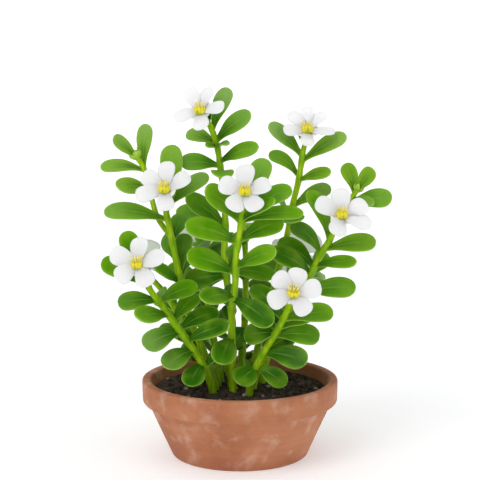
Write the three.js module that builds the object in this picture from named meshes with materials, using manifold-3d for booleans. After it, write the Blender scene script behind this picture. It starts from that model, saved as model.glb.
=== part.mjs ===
// A potted water hyssop: a low clay pot, its soil, a bushy clump of leafy stems and its white blooms.
// Millimetres, +Z up. The origin is the middle of the pot's foot, and -Y is the front of the plant.
import * as THREE from 'three';
import { mergeVertices } from 'three/addons/utils/BufferGeometryUtils.js';
import Module from 'manifold-3d';

const wasm = await Module();
wasm.setup();

// Pot
const POT_HEIGHT = 30.5;
const RIM_RADIUS = 39;
const RIM_BAND = 9;
const RIM_STEP = 2.4;
const FOOT_RADIUS = 27;
const WALL = 3.4;
const FLOOR = 3.6;
const EDGE_ROUND = 0.9;
const INSIDE_ROUND = 2.5;
const BAND_DRAFT = 0.3;
const DRAIN_RADIUS = 2;
const DRAIN_CIRCLE = 14;
const DRAINS = 3;
const DRAIN_SIDES = 8;
const POT_SIDES = 32;

// Soil
const SOIL_TOP = 26;
const SOIL_BUMP = 0.55;
const SOIL_SIDES = 24;
const SOIL_RING_SHARES = [1, 0.75, 0.4, 0];
const STEM_BURIED = 11;
const GAP = 0.3;

// Stems, leaves and blooms
const STEM_RADIUS = 1.6;
const STEM_TIP_RADIUS = 1.05;
const STEM_SIDES = 5;
const STEM_STEP = 10;
const LEAF_THICKNESS = 0.8;
const NECK_HALF_WIDTH = 0.45;
const LEAF_ARCH = 0.15;
const PETAL_WIDTH = 7.6;
const PETAL_THICKNESS = 0.7;
const PETAL_ROOT_OUT = 0.35;
const PETAL_ROOT_BACK = 1.35;
const PETAL_BOW_PLACE = 0.6;
const PETAL_BOW_RISE = 0.6;
const PETAL_TIP_BACK = 0.2;
const PETAL_TWIST = 0.12;
const TUBE_LENGTH = 6;
const TUBE_SIDES = 7;
const THROAT_DEPTH = 1.5;
const RECEPTACLE_BACK = 6.9;
const RECEPTACLE_LENGTH = 3;
const EYE_RADIUS = 2.1;
const TEETH = 5;

// The front of the plant is set out as it is seen by an eye a little above the leaves: right and up in
// millimetres on the picture plane through the middle of the soil, and depth along +Y.
const EYE_DISTANCE = 533;
const EYE_HEIGHT_ANGLE = THREE.MathUtils.degToRad(8);
const AIM_UP = 59.2;

// How close a blade's middle surface may come to another piece's before it is bent away
const CLEAR = 2.1;
const LEAST_CLEAR = 1.5;
const SOIL_NEARER = 0.4;
const RIM_MARGIN = 1;

// Outlines as pairs of place along the blade and share of the half width
const LEAF_OUTLINE = [[0, 0], [0.24, 0.44], [0.5, 0.98], [0.8, 0.92], [1, 0.36]];
const PETAL_OUTLINE = [[0, 0.42], [0.35, 0.86], [0.66, 1], [0.88, 0.84], [1, 0.38]];

// A bloom's tube, yellow centre and calyx, as radius and height along its axis from the middle of its face.
// The rings of the centre and the calyx give a tooth and the notch beside it.
const THROAT_RADIUS = EYE_RADIUS + GAP;
const TUBE_PROFILE = [
  [0, -TUBE_LENGTH], [1, -TUBE_LENGTH], [1.5, -3.4], [THROAT_RADIUS + 0.75, -2], [THROAT_RADIUS + 0.75, -0.9],
  [THROAT_RADIUS, -0.9], [THROAT_RADIUS, -THROAT_DEPTH], [0, -THROAT_DEPTH],
];
const EYE_FOOT = GAP - THROAT_DEPTH;
const EYE_RINGS = [
  [[0.9 * EYE_RADIUS, EYE_FOOT], [0.78 * EYE_RADIUS, EYE_FOOT]],
  [[EYE_RADIUS, -0.3], [0.8 * EYE_RADIUS, -0.3]],
  [[0.86 * EYE_RADIUS, 1.1], [0.7 * EYE_RADIUS, 0.5]],
  [[0.66 * EYE_RADIUS, 2.3], [0.44 * EYE_RADIUS, 0.7]],
  [[0.34 * EYE_RADIUS, 1.9], [0.22 * EYE_RADIUS, 0.6]],
];
const CALYX_BOTTOM = GAP + TUBE_LENGTH;
const SEPAL_TIP = [[4.2, -2.9], [2.3, -5.3]];
const CALYX_RINGS = [
  [[1, -CALYX_BOTTOM - 1.6], [1, -CALYX_BOTTOM - 1.6]],
  [[2, -CALYX_BOTTOM - 0.4], [1.9, -CALYX_BOTTOM - 0.4]],
  SEPAL_TIP,
  [[3.7, -2.5], [1.8, -4.9]],
  [[1.3, -CALYX_BOTTOM], [1.3, -CALYX_BOTTOM]],
];
const BUD_PROFILE = [[0, -0.4], [0.8, 0], [1, 0.8], [0.6, 1.8], [0, 2.3]];

const vector = (x, y, z) => new THREE.Vector3(x, y, z);
const soilCentre = vector(0, 0, SOIL_TOP);
const pictureRight = vector(1, 0, 0);
const pictureUp = vector(0, Math.sin(EYE_HEIGHT_ANGLE), Math.cos(EYE_HEIGHT_ANGLE));
const pictureInward = vector(0, Math.cos(EYE_HEIGHT_ANGLE), -Math.sin(EYE_HEIGHT_ANGLE));
const eye = soilCentre.clone()
  .addScaledVector(pictureUp, AIM_UP)
  .addScaledVector(pictureInward, -EYE_DISTANCE);

// Flowering stems and side shoots. foot is where the stem leaves the soil (x, y); path continues it as seen
// (right, up, depth); a leaf is [up of its root on the stem, right, up and depth of its tip, width, arch].
const STEMS = [
  {
    name: 'stem_left_outer',
    foot: [-10.8, -8],
    path: [[-16, 11.2, -10], [-30, 31.2, -14], [-37.5, 42.2, -17]],
    bloom: 'bloom_left_low',
    leaves: [
      [42, -46.2, 62.6, -15, 8], [41, -55.5, 50.4, -17, 8.4], [34.8, -48.8, 33.6, -16, 8.6],
      [29.2, -40.8, 27.6, -24, 8.8], [22.4, -38.2, 16.2, -18, 9.6], [21, -33, 22, -4, 8],
      [15.2, -29.7, 8, -20, 9.6], [9.6, -19.8, 0.6, -22, 9], [23.2, -8.4, 30.4, -5, 8],
      [26.6, -16.4, 37, -3, 7.4], [18.8, -4.2, 24.4, -23, 8.4], [34, -17, 41, -11, 7.6],
    ],
  },
  {
    name: 'stem_left',
    foot: [-10, -1],
    path: [[-21.2, 31.2, -3], [-24.8, 47.2, -4], [-28, 63.2, -5], [-29.8, 72.6, -5]],
    bloom: 'bloom_left_high',
    leaves: [
      [67.4, -54.4, 70, -6, 8], [71.7, -12.4, 84.8, -4, 7], [58.7, -22.4, 69.1, 7, 7.4],
      [44.8, -21.6, 61.7, 5, 7.6], [43.6, -20, 55, 12, 7.4], [42, -34.4, 48, -14, 6.4],
      [74.5, -28, 97.2, 2, 9],
    ],
    shoot: {
      from: 60,
      path: [[-33, 68, -1], [-35.2, 75.2, 0], [-38, 87.2, 1], [-41, 92, 1]],
      bud: 2,
      leaves: [
        [86.9, -55.8, 88.2, 4, 6.4], [91, -50.6, 100.4, -4, 5.8], [87.8, -37.2, 105.6, 4, 6.4],
        [79.2, -49, 80, -9, 8.6],
      ],
    },
  },
  {
    name: 'stem_centre',
    foot: [-2.8, -6],
    path: [[-3.3, 31.8, -12], [-2, 40.5, -14], [-1.6, 53.5, -15.5], [0.2, 64.8, -16.5], [1, 71.5, -16.5]],
    bloom: 'bloom_centre',
    leaves: [
      [66.4, -14, 79.6, -22, 9.6], [57.8, -22, 64.4, -22, 10.6], [45.7, -21.3, 52.2, -22, 10],
      [37, -15, 34.8, -28, 9.6], [58.7, 17.5, 66.5, -14, 9], [48.3, 14.5, 53.9, -24, 8.4],
      [35.3, 12.3, 24.8, -25, 9.8], [66.5, 14, 74.4, -27, 6.2], [69, 10.6, 91.6, -10, 9.4],
      [68, 20.8, 79.6, -12, 8], [20, -8, 9.5, -23, 10], [66, 25.4, 69.6, -18, 6.2],
    ],
  },
  {
    name: 'stem_top_left',
    foot: [-3.5, 4],
    path: [
      [-3.3, 27.6, 5], [-5, 40.4, 5], [-6.3, 53.6, 5], [-5.9, 66.4, 5], [-8, 89.2, 5], [-9.6, 98.6, 5],
      [-12, 105, 4],
    ],
    bloom: 'bloom_top_left',
    leaves: [
      [103, -4.2, 119.8, 9, 7], [98.2, 4.5, 109.4, 0, 8.6], [97.7, -21.5, 101.6, 10, 7],
      [89.9, 7.3, 95.6, -6, 7.8], [88.6, -23.8, 89.6, -4, 8.2], [86, -6.5, 84, -10, 9],
      [66.4, -25.6, 70.4, 10, 7.6], [64, -21.8, 76, -2, 9.2], [44.8, -21.7, 41.8, -5, 9.4],
      [46, 14, 44.5, -3, 7.4], [96, -13.4, 96.6, -1, 3.4], [96, -4.6, 97.4, 0, 3.4],
    ],
  },
  {
    name: 'stem_top_right',
    foot: [4.5, 6],
    path: [
      [8, 20, 9], [14, 42, 10], [19.2, 63, 10], [21.4, 75.2, 9], [23.2, 82, 9], [24.5, 90, 8.5],
      [25.6, 97, 8],
    ],
    bloom: 'bloom_top_right',
    leaves: [
      [92.5, 11.3, 105, 3, 7.6], [90.4, 42.7, 100.4, -2, 7.4], [83.8, 11.4, 93.2, 13, 6, 0.3],
      [83, 36.2, 85.8, 0, 6], [72, 36.4, 80, 13, 7], [68.5, 20.5, 66, -8, 10.5],
    ],
  },
  {
    name: 'stem_right',
    foot: [5, -2],
    path: [[12, 18, -1], [24, 37.2, -2], [27.9, 44.8, -2], [32.3, 53.6, -3], [36.4, 60, -4]],
    bloom: 'bloom_right',
    leaves: [
      [55.2, 54.4, 57.8, -6, 8.6], [48.8, 46.3, 49.6, -12, 6.4], [38, 46.2, 39.2, -8, 9],
      [53.5, 18, 66.5, -6, 8.2, 0.28], [58.8, 26.6, 78.2, -2, 7, 0.28], [48, 15.2, 58.8, 7, 8.6],
      [45.5, 12, 54.4, 0, 9], [44, 33.5, 44, 10, 4.4],
    ],
    shoot: {
      from: 58.5,
      path: [[41, 69, 3], [44.6, 76, 4], [46.6, 79, 4]],
      bud: 1.7,
      leaves: [
        [77.6, 41.8, 89.7, 8, 6.6], [77.6, 53.2, 87.7, 3, 6.6], [74, 60.7, 75.2, 0, 8.6],
        [75.5, 53, 73, -3, 5],
      ],
    },
  },
  {
    name: 'stem_right_low',
    foot: [3.5, -10],
    path: [[5.6, 6.2, -11], [10.6, 16.2, -14], [15.8, 24.8, -17], [18.8, 31, -19]],
    bloom: 'bloom_right_low',
    leaves: [
      [14, 26.6, 10.1, -20, 9.6], [21, 31.8, 20.1, -15, 9], [27.4, 37.3, 30, -15, 8.6],
      [27.5, 4.5, 40.5, -21, 8.4], [24, 12.5, 32, -6, 6], [22, 1.6, 20.5, -13, 9.2],
      [8, -1, 1.8, -21, 9.6], [8.4, 18, 0.8, -17, 7.8],
    ],
  },
  {
    name: 'stem_left_hidden',
    foot: [-9, 5],
    path: [[-20, 22, 6], [-31, 39, 6], [-37, 45, 5]],
    bloom: 'bloom_left_hidden',
    leaves: [[30, -31, 38, 16, 8], [18, -22, 12, 14, 8]],
  },
];

// Stems at the back, where leaves stand in crossed pairs by rule
const BACK_STEMS = [
  { name: 'stem_back_left', foot: [-8, 11], path: [[-12, 28, 19], [-15, 52, 25]], bloom: 'bloom_back_left' },
  { name: 'stem_back_middle', foot: [0, 12], path: [[2, 30, 22], [2, 56, 30], [1, 66, 31]], bud: 2 },
  { name: 'stem_back_right', foot: [9, 10], path: [[14, 26, 18], [20, 47, 24]], bloom: 'bloom_back_right' },
  { name: 'stem_back_low_left', foot: [-4, 17], path: [[-10, 16, 29], [-17, 37, 38]], bud: 2 },
  { name: 'stem_back_low_right', foot: [5, 17], path: [[11, 16, 29], [20, 34, 38]], bud: 2 },
];

// Blooms: middle as seen, the way they face (right, up, toward the eye), and their petals as seen, each a
// heading in degrees and a length. Petals of another width than the rest have it as breadth.
const BLOOMS = [
  {
    name: 'centre',
    middle: [1.9, 78.9, -25],
    faces: [0, 0.42, 0.9],
    petals: [[90, 10.7], [18, 10.8], [162, 10.8], [234, 9.5], [306, 9.5]],
  },
  {
    name: 'left_high',
    middle: [-30.4, 79.9, -14],
    faces: [-0.15, 0.4, 0.9],
    petals: [[83, 10.9], [27, 11.6], [275, 9], [196, 11.8], [145, 10.4]],
    breadth: 7,
  },
  {
    name: 'left_low',
    middle: [-41.3, 49.8, -25],
    faces: [-0.25, 0.3, 0.92],
    petals: [[157, 11.4], [84, 10.6], [18, 11.6], [299, 10.2], [218, 10.4]],
  },
  {
    name: 'left_hidden',
    middle: [-38.6, 51, -3],
    faces: [0.2, 0.5, 0.85],
    petals: [[62, 9], [128, 8], [200, 8], [272, 7.5], [350, 8]],
  },
  {
    name: 'right_low',
    middle: [21.4, 38.3, -27],
    faces: [0.05, 0.15, 0.99],
    petals: [[137, 10.5], [77, 10], [11, 11.3], [303, 10.5], [203, 11]],
  },
  {
    name: 'right',
    middle: [40.8, 69.7, -13],
    faces: [0.15, 0.4, 0.9],
    petals: [[154, 11.6], [94, 10.3], [23, 10.8], [339, 12.6], [255, 9]],
  },
  {
    name: 'top_left',
    middle: [-16, 111.3, -3],
    faces: [-0.35, 0.5, 0.79],
    petals: [[120, 10], [70, 9.8], [10, 9.8], [273, 8], [196, 11]],
    breadth: 6.6,
  },
  {
    name: 'top_right',
    middle: [26.9, 103.8, 2],
    faces: [0.05, 0.62, 0.78],
    petals: [[136, 9.8], [91, 8.8], [45, 9.3], [184, 9.6], [354, 11.2], [271, 7]],
    breadth: 5.8,
  },
  {
    name: 'back_left',
    middle: [-17, 60, 33],
    faces: [-0.35, 0.35, -0.87],
    petals: [[90, 10.5], [18, 10.5], [162, 10.5], [234, 10], [306, 10]],
  },
  {
    name: 'back_right',
    middle: [23, 55, 32],
    faces: [0.4, 0.35, -0.85],
    petals: [[96, 10.5], [24, 10.5], [168, 10.5], [240, 10], [312, 10]],
  },
];

// Leaves by rule: the pairs of a back stem, and the single leaves behind a front stem
const BACK_LEAF = { length: 18, width: 8.8, arch: LEAF_ARCH, lean: [0.35, 0.7], spread: 18 };
const BACK_PAIR_PLACES = [0.3, 0.49, 0.69, 0.88];
const REAR_LEAF = { length: 15, width: 8, arch: LEAF_ARCH, lean: [0.4, 0.7], spread: 30 };
const REAR_PLACES = [0.3, 0.5, 0.7];
const FEW_LEAVES = 4;
const FRONT_FACE = new THREE.Vector3(0, -0.8, 0.6);
const RULED_FACE = { outward: 0.75, up: 0.66 };

let seed = 41;
function draw(least, most) {
  seed = (seed * 16807) % 2147483647;
  return least + (most - least) * (seed / 2147483647);
}

// The line of sight through a place of the picture plane
function sightLine(right, up) {
  const start = soilCentre.clone().addScaledVector(pictureRight, right).addScaledVector(pictureUp, up);
  return { start, along: start.clone().sub(eye) };
}

function seen(right, up, depth) {
  const { start, along } = sightLine(right, up);
  return start.addScaledVector(along, (depth - start.y) / along.y);
}

function seenOnPlane(right, up, middle, normal) {
  const { start, along } = sightLine(right, up);
  const reach = middle.clone().sub(start).dot(normal) / along.dot(normal);
  return start.addScaledVector(along, reach);
}

function upOf(point) {
  const sight = point.clone().sub(eye);
  return AIM_UP + EYE_DISTANCE * sight.dot(pictureUp) / sight.dot(pictureInward);
}

// A closed skin over rings of equally many points, with both faces of a thin blade split alike
function loft(rings) {
  const sides = rings[0].length;
  const last = (rings.length - 1) * sides;
  const faces = [];
  for (let start = 0; start < last; start += sides) {
    for (let side = 0; side < sides; side += 1) {
      const next = (side + 1) % sides;
      const [a, b, c, d] = [start + side, start + next, start + sides + next, start + sides + side];
      faces.push(...(2 * side > sides ? [a, b, d, b, c, d] : [a, b, c, a, c, d]));
    }
  }
  for (let side = 1; side < sides - 1; side += 1) {
    faces.push(0, side + 1, side);
    faces.push(last, last + side, last + side + 1);
  }
  return solid(rings.flat().flatMap((point) => point.toArray()), faces);
}

function solid(positions, faces) {
  const mesh = new wasm.Mesh({
    numProp: 3,
    vertProperties: new Float32Array(positions),
    triVerts: new Uint32Array(faces),
  });
  return new wasm.Manifold(mesh);
}

// A closed turned shape from a profile of radius and height, as positions and faces
function lathe(profile, sides) {
  const outline = profile.map(([radius, height]) => new THREE.Vector2(radius, height));
  const turned = new THREE.LatheGeometry(outline, sides).rotateX(Math.PI / 2);
  turned.deleteAttribute('normal');
  turned.deleteAttribute('uv');
  const merged = mergeVertices(turned);
  const index = merged.getIndex().array;
  const faces = [];
  for (let i = 0; i < index.length; i += 3) {
    const face = Array.from(index.slice(i, i + 3));
    if (new Set(face).size === 3) faces.push(...face);
  }
  return { positions: Array.from(merged.getAttribute('position').array), faces };
}

// Joins solids into one body, leaving out loose scraps and filling what the join seals
function join(solids) {
  const bodies = solids.reduce((whole, next) => whole.add(next)).decompose();
  return bodies.reduce((largest, body) => (body.volume() > largest.volume() ? body : largest));
}

// A blade runs from root to tip, bowed toward bow, with its face turned toward face
function bladePoint(blade, along, across, lift) {
  const { root, tip, bow, face } = blade;
  const point = root.clone().multiplyScalar((1 - along) ** 2)
    .addScaledVector(bow, 2 * along * (1 - along))
    .addScaledVector(tip, along ** 2);
  const tangent = bow.clone().sub(root).multiplyScalar(1 - along)
    .addScaledVector(tip.clone().sub(bow), along).normalize();
  const normal = face.clone().addScaledVector(tangent, -face.dot(tangent)).normalize();
  const side = tangent.cross(normal);
  return point.addScaledVector(side, across).addScaledVector(normal, lift);
}

function bladeSolid(blade, outline, thickness, neck) {
  const half = thickness / 2;
  return loft(outline.map(([along, share]) => {
    const across = neck + (blade.width / 2 - neck) * share;
    return [
      bladePoint(blade, along, across, half),
      bladePoint(blade, along, across, -half),
      bladePoint(blade, along, -across, -half),
      bladePoint(blade, along, -across, half),
    ];
  }));
}

function halfWidthAt(outline, along) {
  const next = outline.findIndex(([place]) => place >= along);
  if (next <= 0) return outline[0][1];
  const [[from, low], [to, high]] = [outline[next - 1], outline[next]];
  return low + (high - low) * (along - from) / (to - from);
}

const ALONG = [0.2, 0.3, 0.4, 0.5, 0.6, 0.7, 0.8, 0.9, 1];
const ACROSS = [-1, -0.5, 0, 0.5, 1];

function bladeSamples(blade, outline) {
  const samples = [];
  for (const along of ALONG) {
    const across = blade.width / 2 * halfWidthAt(outline, along);
    for (const share of ACROSS) {
      samples.push({ along, at: bladePoint(blade, along, across * share, 0) });
    }
  }
  return samples;
}

// Everything placed so far, as points with the room that each takes
const placed = [];
function occupy(owner, kind, at, room) {
  placed.push({ owner, kind, at, room });
}

// Height over the soil or the pot's rim, whichever is under the point
function heightOverPot(point) {
  const radius = Math.hypot(point.x, point.y);
  if (radius > RIM_RADIUS + RIM_MARGIN) return CLEAR;
  const under = radius > RIM_RADIUS - WALL - 2 * RIM_MARGIN ? POT_HEIGHT : SOIL_TOP;
  return point.z - under + SOIL_NEARER;
}

function roomAround(blade, owner) {
  let least = CLEAR + 1;
  for (const { along, at } of bladeSamples(blade, LEAF_OUTLINE)) {
    least = Math.min(least, heightOverPot(at));
    for (const other of placed) {
      const own = other.owner === owner;
      if (own && (other.kind === 'stem' || along < 0.5)) continue;
      least = Math.min(least, at.distanceTo(other.at) - other.room);
    }
  }
  return least;
}

function placeLeaf(owner, choices) {
  let best = null;
  let most = -Infinity;
  for (const blade of choices) {
    const room = roomAround(blade, owner);
    if (room > most) [best, most] = [blade, room];
    if (most >= CLEAR) break;
  }
  if (most < LEAST_CLEAR) return null;
  for (const { at } of bladeSamples(best, LEAF_OUTLINE)) occupy(owner, 'leaf', at, 0);
  return best;
}

function leafBlade(root, tip, rise, face, width, arch) {
  const length = root.distanceTo(tip);
  const bow = root.clone().lerp(tip, 0.5).addScaledVector(rise, arch * length);
  return { root, tip, bow, face, width };
}

const DEPTH_SHIFTS = [0, -2, 2, -4, 4, -6, 6, -9, 9, -12, 12, -15, 15];
const SHORTER = [1, 0.86, 0.74];

// A leaf of the front, whose tip slides along the line of sight until the leaf is clear
function seenLeaf(owner, curve, [from, right, up, depth, width, arch = LEAF_ARCH]) {
  const { root, rise } = placeOnStem(curve, from);
  const choices = SHORTER.flatMap((share) => DEPTH_SHIFTS.map((shift) => {
    const tip = root.clone().lerp(seen(right, up, depth + shift), share);
    return leafBlade(root, tip, rise, FRONT_FACE, width * share, arch);
  }));
  return placeLeaf(owner, choices);
}

const SWINGS = [0, 14, -14, 28, -28, 42, -42];

// A leaf by rule: it leaves the stem at a heading round it, and swings round the stem until it is clear
function ruledLeaf(owner, curve, place, heading, { length, width, arch, lean: [least, most] }) {
  const root = curve.getPointAt(place);
  const rise = curve.getTangentAt(place);
  const lean = draw(least, most);
  const choices = SHORTER.flatMap((share) => SWINGS.map((swing) => {
    const turn = THREE.MathUtils.degToRad(heading + swing);
    const outward = vector(Math.cos(turn), Math.sin(turn), 0);
    const tip = root.clone().addScaledVector(outward, length * share * Math.cos(lean))
      .addScaledVector(rise, length * share * Math.sin(lean));
    const face = vector(tip.x, tip.y, 0).normalize().multiplyScalar(RULED_FACE.outward).setZ(RULED_FACE.up);
    return leafBlade(root, tip, rise, face, width * share, arch);
  }));
  return placeLeaf(owner, choices);
}

const STEM_SAMPLES = 160;

function placeOnStem(curve, up) {
  let place = 0;
  let least = Infinity;
  for (let i = 0; i <= STEM_SAMPLES; i += 1) {
    const off = Math.abs(upOf(curve.getPointAt(i / STEM_SAMPLES)) - up);
    if (off < least) [place, least] = [i / STEM_SAMPLES, off];
  }
  return { place, root: curve.getPointAt(place), rise: curve.getTangentAt(place) };
}

// Rings square to a curve, each of radiusAt its place
function stemRings(curve, radiusAt, sides, step) {
  const steps = Math.max(2, Math.round(curve.getLength() / step));
  const frames = curve.computeFrenetFrames(steps, false);
  const rings = [];
  for (let i = 0; i <= steps; i += 1) {
    const middle = curve.getPointAt(i / steps);
    const ring = [];
    for (let side = 0; side < sides; side += 1) {
      const turn = 2 * Math.PI * side / sides;
      ring.push(middle.clone()
        .addScaledVector(frames.normals[i], radiusAt(i / steps) * Math.cos(turn))
        .addScaledVector(frames.binormals[i], radiusAt(i / steps) * Math.sin(turn)));
    }
    rings.push(ring);
  }
  return rings;
}

function stemRadius(place) {
  return THREE.MathUtils.lerp(STEM_RADIUS, STEM_TIP_RADIUS, place);
}

// A lathe shape stood on a place with its axis along a direction
function stood(shape, at, axis) {
  const turn = new THREE.Quaternion().setFromUnitVectors(vector(0, 0, 1), axis);
  const positions = [];
  for (let i = 0; i < shape.positions.length; i += 3) {
    const point = vector(...shape.positions.slice(i, i + 3)).applyQuaternion(turn).add(at);
    positions.push(...point.toArray());
  }
  return solid(positions, shape.faces);
}

function budSolid(at, axis, radius) {
  const profile = BUD_PROFILE.map(([out, along]) => [out * radius, along * radius]);
  return stood(lathe(profile, STEM_SIDES), at, axis);
}

const blooms = new Map(BLOOMS.map(({ name, middle, faces, petals, breadth = PETAL_WIDTH }) => {
  const [right, up, toward] = faces;
  const axis = vector(0, 0, 0).addScaledVector(pictureRight, right).addScaledVector(pictureUp, up)
    .addScaledVector(pictureInward, -toward).normalize();
  const centre = seen(...middle);
  const tips = petals.map(([heading, length]) => {
    const turn = THREE.MathUtils.degToRad(heading);
    const [tipRight, tipUp] = [middle[0] + length * Math.cos(turn), middle[1] + length * Math.sin(turn)];
    return seenOnPlane(tipRight, tipUp, centre, axis);
  });
  return [`bloom_${name}`, { name, centre, axis, tips, breadth }];
}));

// A petal leaves the rim of the throat, rises a little and leans back at its tip
function petalBlade({ centre, axis, breadth }, tip) {
  const outward = tip.clone().sub(centre);
  const length = outward.length();
  outward.normalize();
  const root = centre.clone()
    .addScaledVector(outward, THROAT_RADIUS + PETAL_ROOT_OUT)
    .addScaledVector(axis, -PETAL_ROOT_BACK);
  const bow = centre.clone()
    .addScaledVector(outward, length * PETAL_BOW_PLACE)
    .addScaledVector(axis, PETAL_BOW_RISE);
  const face = axis.clone().addScaledVector(axis.clone().cross(outward), PETAL_TWIST);
  return { root, tip: tip.clone().addScaledVector(axis, -PETAL_TIP_BACK), bow, face, width: breadth };
}

function corollaSolid(bloom) {
  const tube = stood(lathe(TUBE_PROFILE, TUBE_SIDES), bloom.centre, bloom.axis);
  const petals = bloom.tips.map((tip) => {
    return bladeSolid(petalBlade(bloom, tip), PETAL_OUTLINE, PETAL_THICKNESS, 0);
  });
  return join([tube, ...petals]);
}

// A ring of points round a bloom's axis, teeth and notches in turn
function toothedRing({ centre, axis, tips }, [tooth, notch]) {
  const first = tips[0].clone().sub(centre).normalize();
  const ring = [];
  for (let step = 0; step < 2 * TEETH; step += 1) {
    const outward = first.clone().applyAxisAngle(axis, Math.PI * (step + 1) / TEETH);
    const [radius, height] = step % 2 === 0 ? tooth : notch;
    ring.push(centre.clone().addScaledVector(outward, radius).addScaledVector(axis, height));
  }
  return ring;
}

function toothedSolid(bloom, rings) {
  return loft(rings.map((ring) => toothedRing(bloom, ring)));
}

function stemCurve({ foot: [x, y], path, bloom }) {
  const points = [vector(x, y, SOIL_TOP - STEM_BURIED), vector(x, y, SOIL_TOP + 1)];
  for (const place of path) points.push(seen(...place));
  if (bloom) {
    const { centre, axis } = blooms.get(bloom);
    points.push(centre.clone().addScaledVector(axis, -RECEPTACLE_BACK - RECEPTACLE_LENGTH));
    points.push(centre.clone().addScaledVector(axis, -RECEPTACLE_BACK));
  }
  return new THREE.CatmullRomCurve3(points, false, 'centripetal');
}

function shootCurve(curve, shoot) {
  const points = [placeOnStem(curve, shoot.from).root];
  for (const place of shoot.path) points.push(seen(...place));
  return new THREE.CatmullRomCurve3(points, false, 'centripetal');
}

function occupyStem(owner, curve) {
  const steps = Math.round(curve.getLength());
  for (let i = 0; i <= steps; i += 1) {
    occupy(owner, 'stem', curve.getPointAt(i / steps), stemRadius(i / steps) - 0.3);
  }
}

function occupyBloom(bloom, stem) {
  for (const tip of bloom.tips) {
    const blade = petalBlade(bloom, tip);
    for (const { at } of bladeSamples(blade, PETAL_OUTLINE)) occupy(bloom.name, 'petal', at, 0);
  }
  for (let back = 0; back <= RECEPTACLE_BACK; back += 1) {
    occupy(stem, 'calyx', bloom.centre.clone().addScaledVector(bloom.axis, -back), 1.6);
  }
  occupy(bloom.name, 'eye', bloom.centre.clone().addScaledVector(bloom.axis, 1.5), 1.5);
  for (const at of toothedRing(bloom, SEPAL_TIP)) occupy(stem, 'calyx', at, 0.3);
}

function shown(name, whole, material) {
  const { vertProperties, triVerts, numProp } = whole.getMesh();
  const positions = new Float32Array(triVerts.length * 3);
  triVerts.forEach((vertex, i) => {
    positions.set(vertProperties.subarray(vertex * numProp, vertex * numProp + 3), i * 3);
  });
  const geometry = new THREE.BufferGeometry();
  geometry.setAttribute('position', new THREE.BufferAttribute(positions, 3));
  geometry.computeVertexNormals();
  const mesh = new THREE.Mesh(geometry, material);
  mesh.name = name;
  return mesh;
}

const clay = new THREE.MeshStandardMaterial({ color: '#b8673f', roughness: 0.85, metalness: 0 });
const earth = new THREE.MeshStandardMaterial({ color: '#3b2a1e', roughness: 0.95, metalness: 0 });
const leafGreen = new THREE.MeshStandardMaterial({ color: '#4f9422', roughness: 0.45, metalness: 0 });
const petalWhite = new THREE.MeshStandardMaterial({ color: '#f4f4f6', roughness: 0.6, metalness: 0 });
const eyeYellow = new THREE.MeshStandardMaterial({ color: '#ecc81e', roughness: 0.55, metalness: 0 });

// Inside of the pot from the foot of its band down to its floor, drawn in by a gap where the soil fills it
function potInside(gap) {
  const floorRadius = FOOT_RADIUS - EDGE_ROUND;
  return [
    [RIM_RADIUS - RIM_STEP - WALL - gap, POT_HEIGHT - RIM_BAND],
    [floorRadius - gap, FLOOR + INSIDE_ROUND],
    [floorRadius - INSIDE_ROUND - gap, FLOOR + gap],
    [0, FLOOR + gap],
  ];
}

function makePot() {
  const lip = RIM_RADIUS - WALL;
  const bandFoot = POT_HEIGHT - RIM_BAND;
  const profile = [
    [0, 0],
    [FOOT_RADIUS - EDGE_ROUND, 0],
    [FOOT_RADIUS, EDGE_ROUND],
    [RIM_RADIUS - RIM_STEP, bandFoot],
    [RIM_RADIUS - EDGE_ROUND, bandFoot],
    [RIM_RADIUS - BAND_DRAFT, bandFoot + EDGE_ROUND],
    [RIM_RADIUS, POT_HEIGHT - EDGE_ROUND],
    [RIM_RADIUS - EDGE_ROUND, POT_HEIGHT],
    [lip + EDGE_ROUND, POT_HEIGHT],
    [lip, POT_HEIGHT - EDGE_ROUND],
    ...potInside(0),
  ];
  const shape = lathe(profile, POT_SIDES);
  let pot = solid(shape.positions, shape.faces);
  const holeProfile = [[0, -1], [DRAIN_RADIUS, -1], [DRAIN_RADIUS, FLOOR + 1], [0, FLOOR + 1]];
  for (let order = 0; order < DRAINS; order += 1) {
    const turn = 2 * Math.PI * order / DRAINS + Math.PI / 6;
    const at = vector(DRAIN_CIRCLE * Math.cos(turn), DRAIN_CIRCLE * Math.sin(turn), 0);
    pot = pot.subtract(stood(lathe(holeProfile, DRAIN_SIDES), at, vector(0, 0, 1)));
  }
  return shown('pot', pot, clay);
}

// Gentle waves of the soil's top
function soilHeight(x, y) {
  const waves = Math.sin(x * 0.55 + 1.3) * Math.cos(y * 0.48) + 0.6 * Math.sin(x * 0.23 - y * 0.37);
  return SOIL_TOP + SOIL_BUMP * waves;
}

function makeSoil(curves) {
  const [[lipRadius, lipHeight], ...rest] = potInside(GAP);
  const lip = RIM_RADIUS - WALL;
  const rise = (SOIL_TOP - lipHeight) / (POT_HEIGHT - EDGE_ROUND - lipHeight);
  const topRadius = lipRadius + (lip - GAP - lipRadius) * rise;
  const top = SOIL_RING_SHARES.map((share) => [topRadius * share, SOIL_TOP]);
  const shape = lathe([...rest.reverse(), [lipRadius, lipHeight], ...top], SOIL_SIDES);
  for (let i = 0; i < shape.positions.length; i += 3) {
    const [x, y, z] = shape.positions.slice(i, i + 3);
    const radius = Math.hypot(x, y);
    if (Math.abs(z - SOIL_TOP) < 0.01 && radius < topRadius - 1) shape.positions[i + 2] = soilHeight(x, y);
  }
  let soil = solid(shape.positions, shape.faces);
  for (const curve of curves) {
    const widened = (place) => stemRadius(place) + 1.25 * GAP;
    const rings = stemRings(curve, widened, STEM_SIDES, STEM_STEP).slice(0, 3);
    for (const point of rings[0]) point.z -= GAP;
    soil = soil.subtract(loft(rings));
  }
  return shown('soil', soil, earth);
}

const plant = new THREE.Group();
const curves = new Map();

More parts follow.
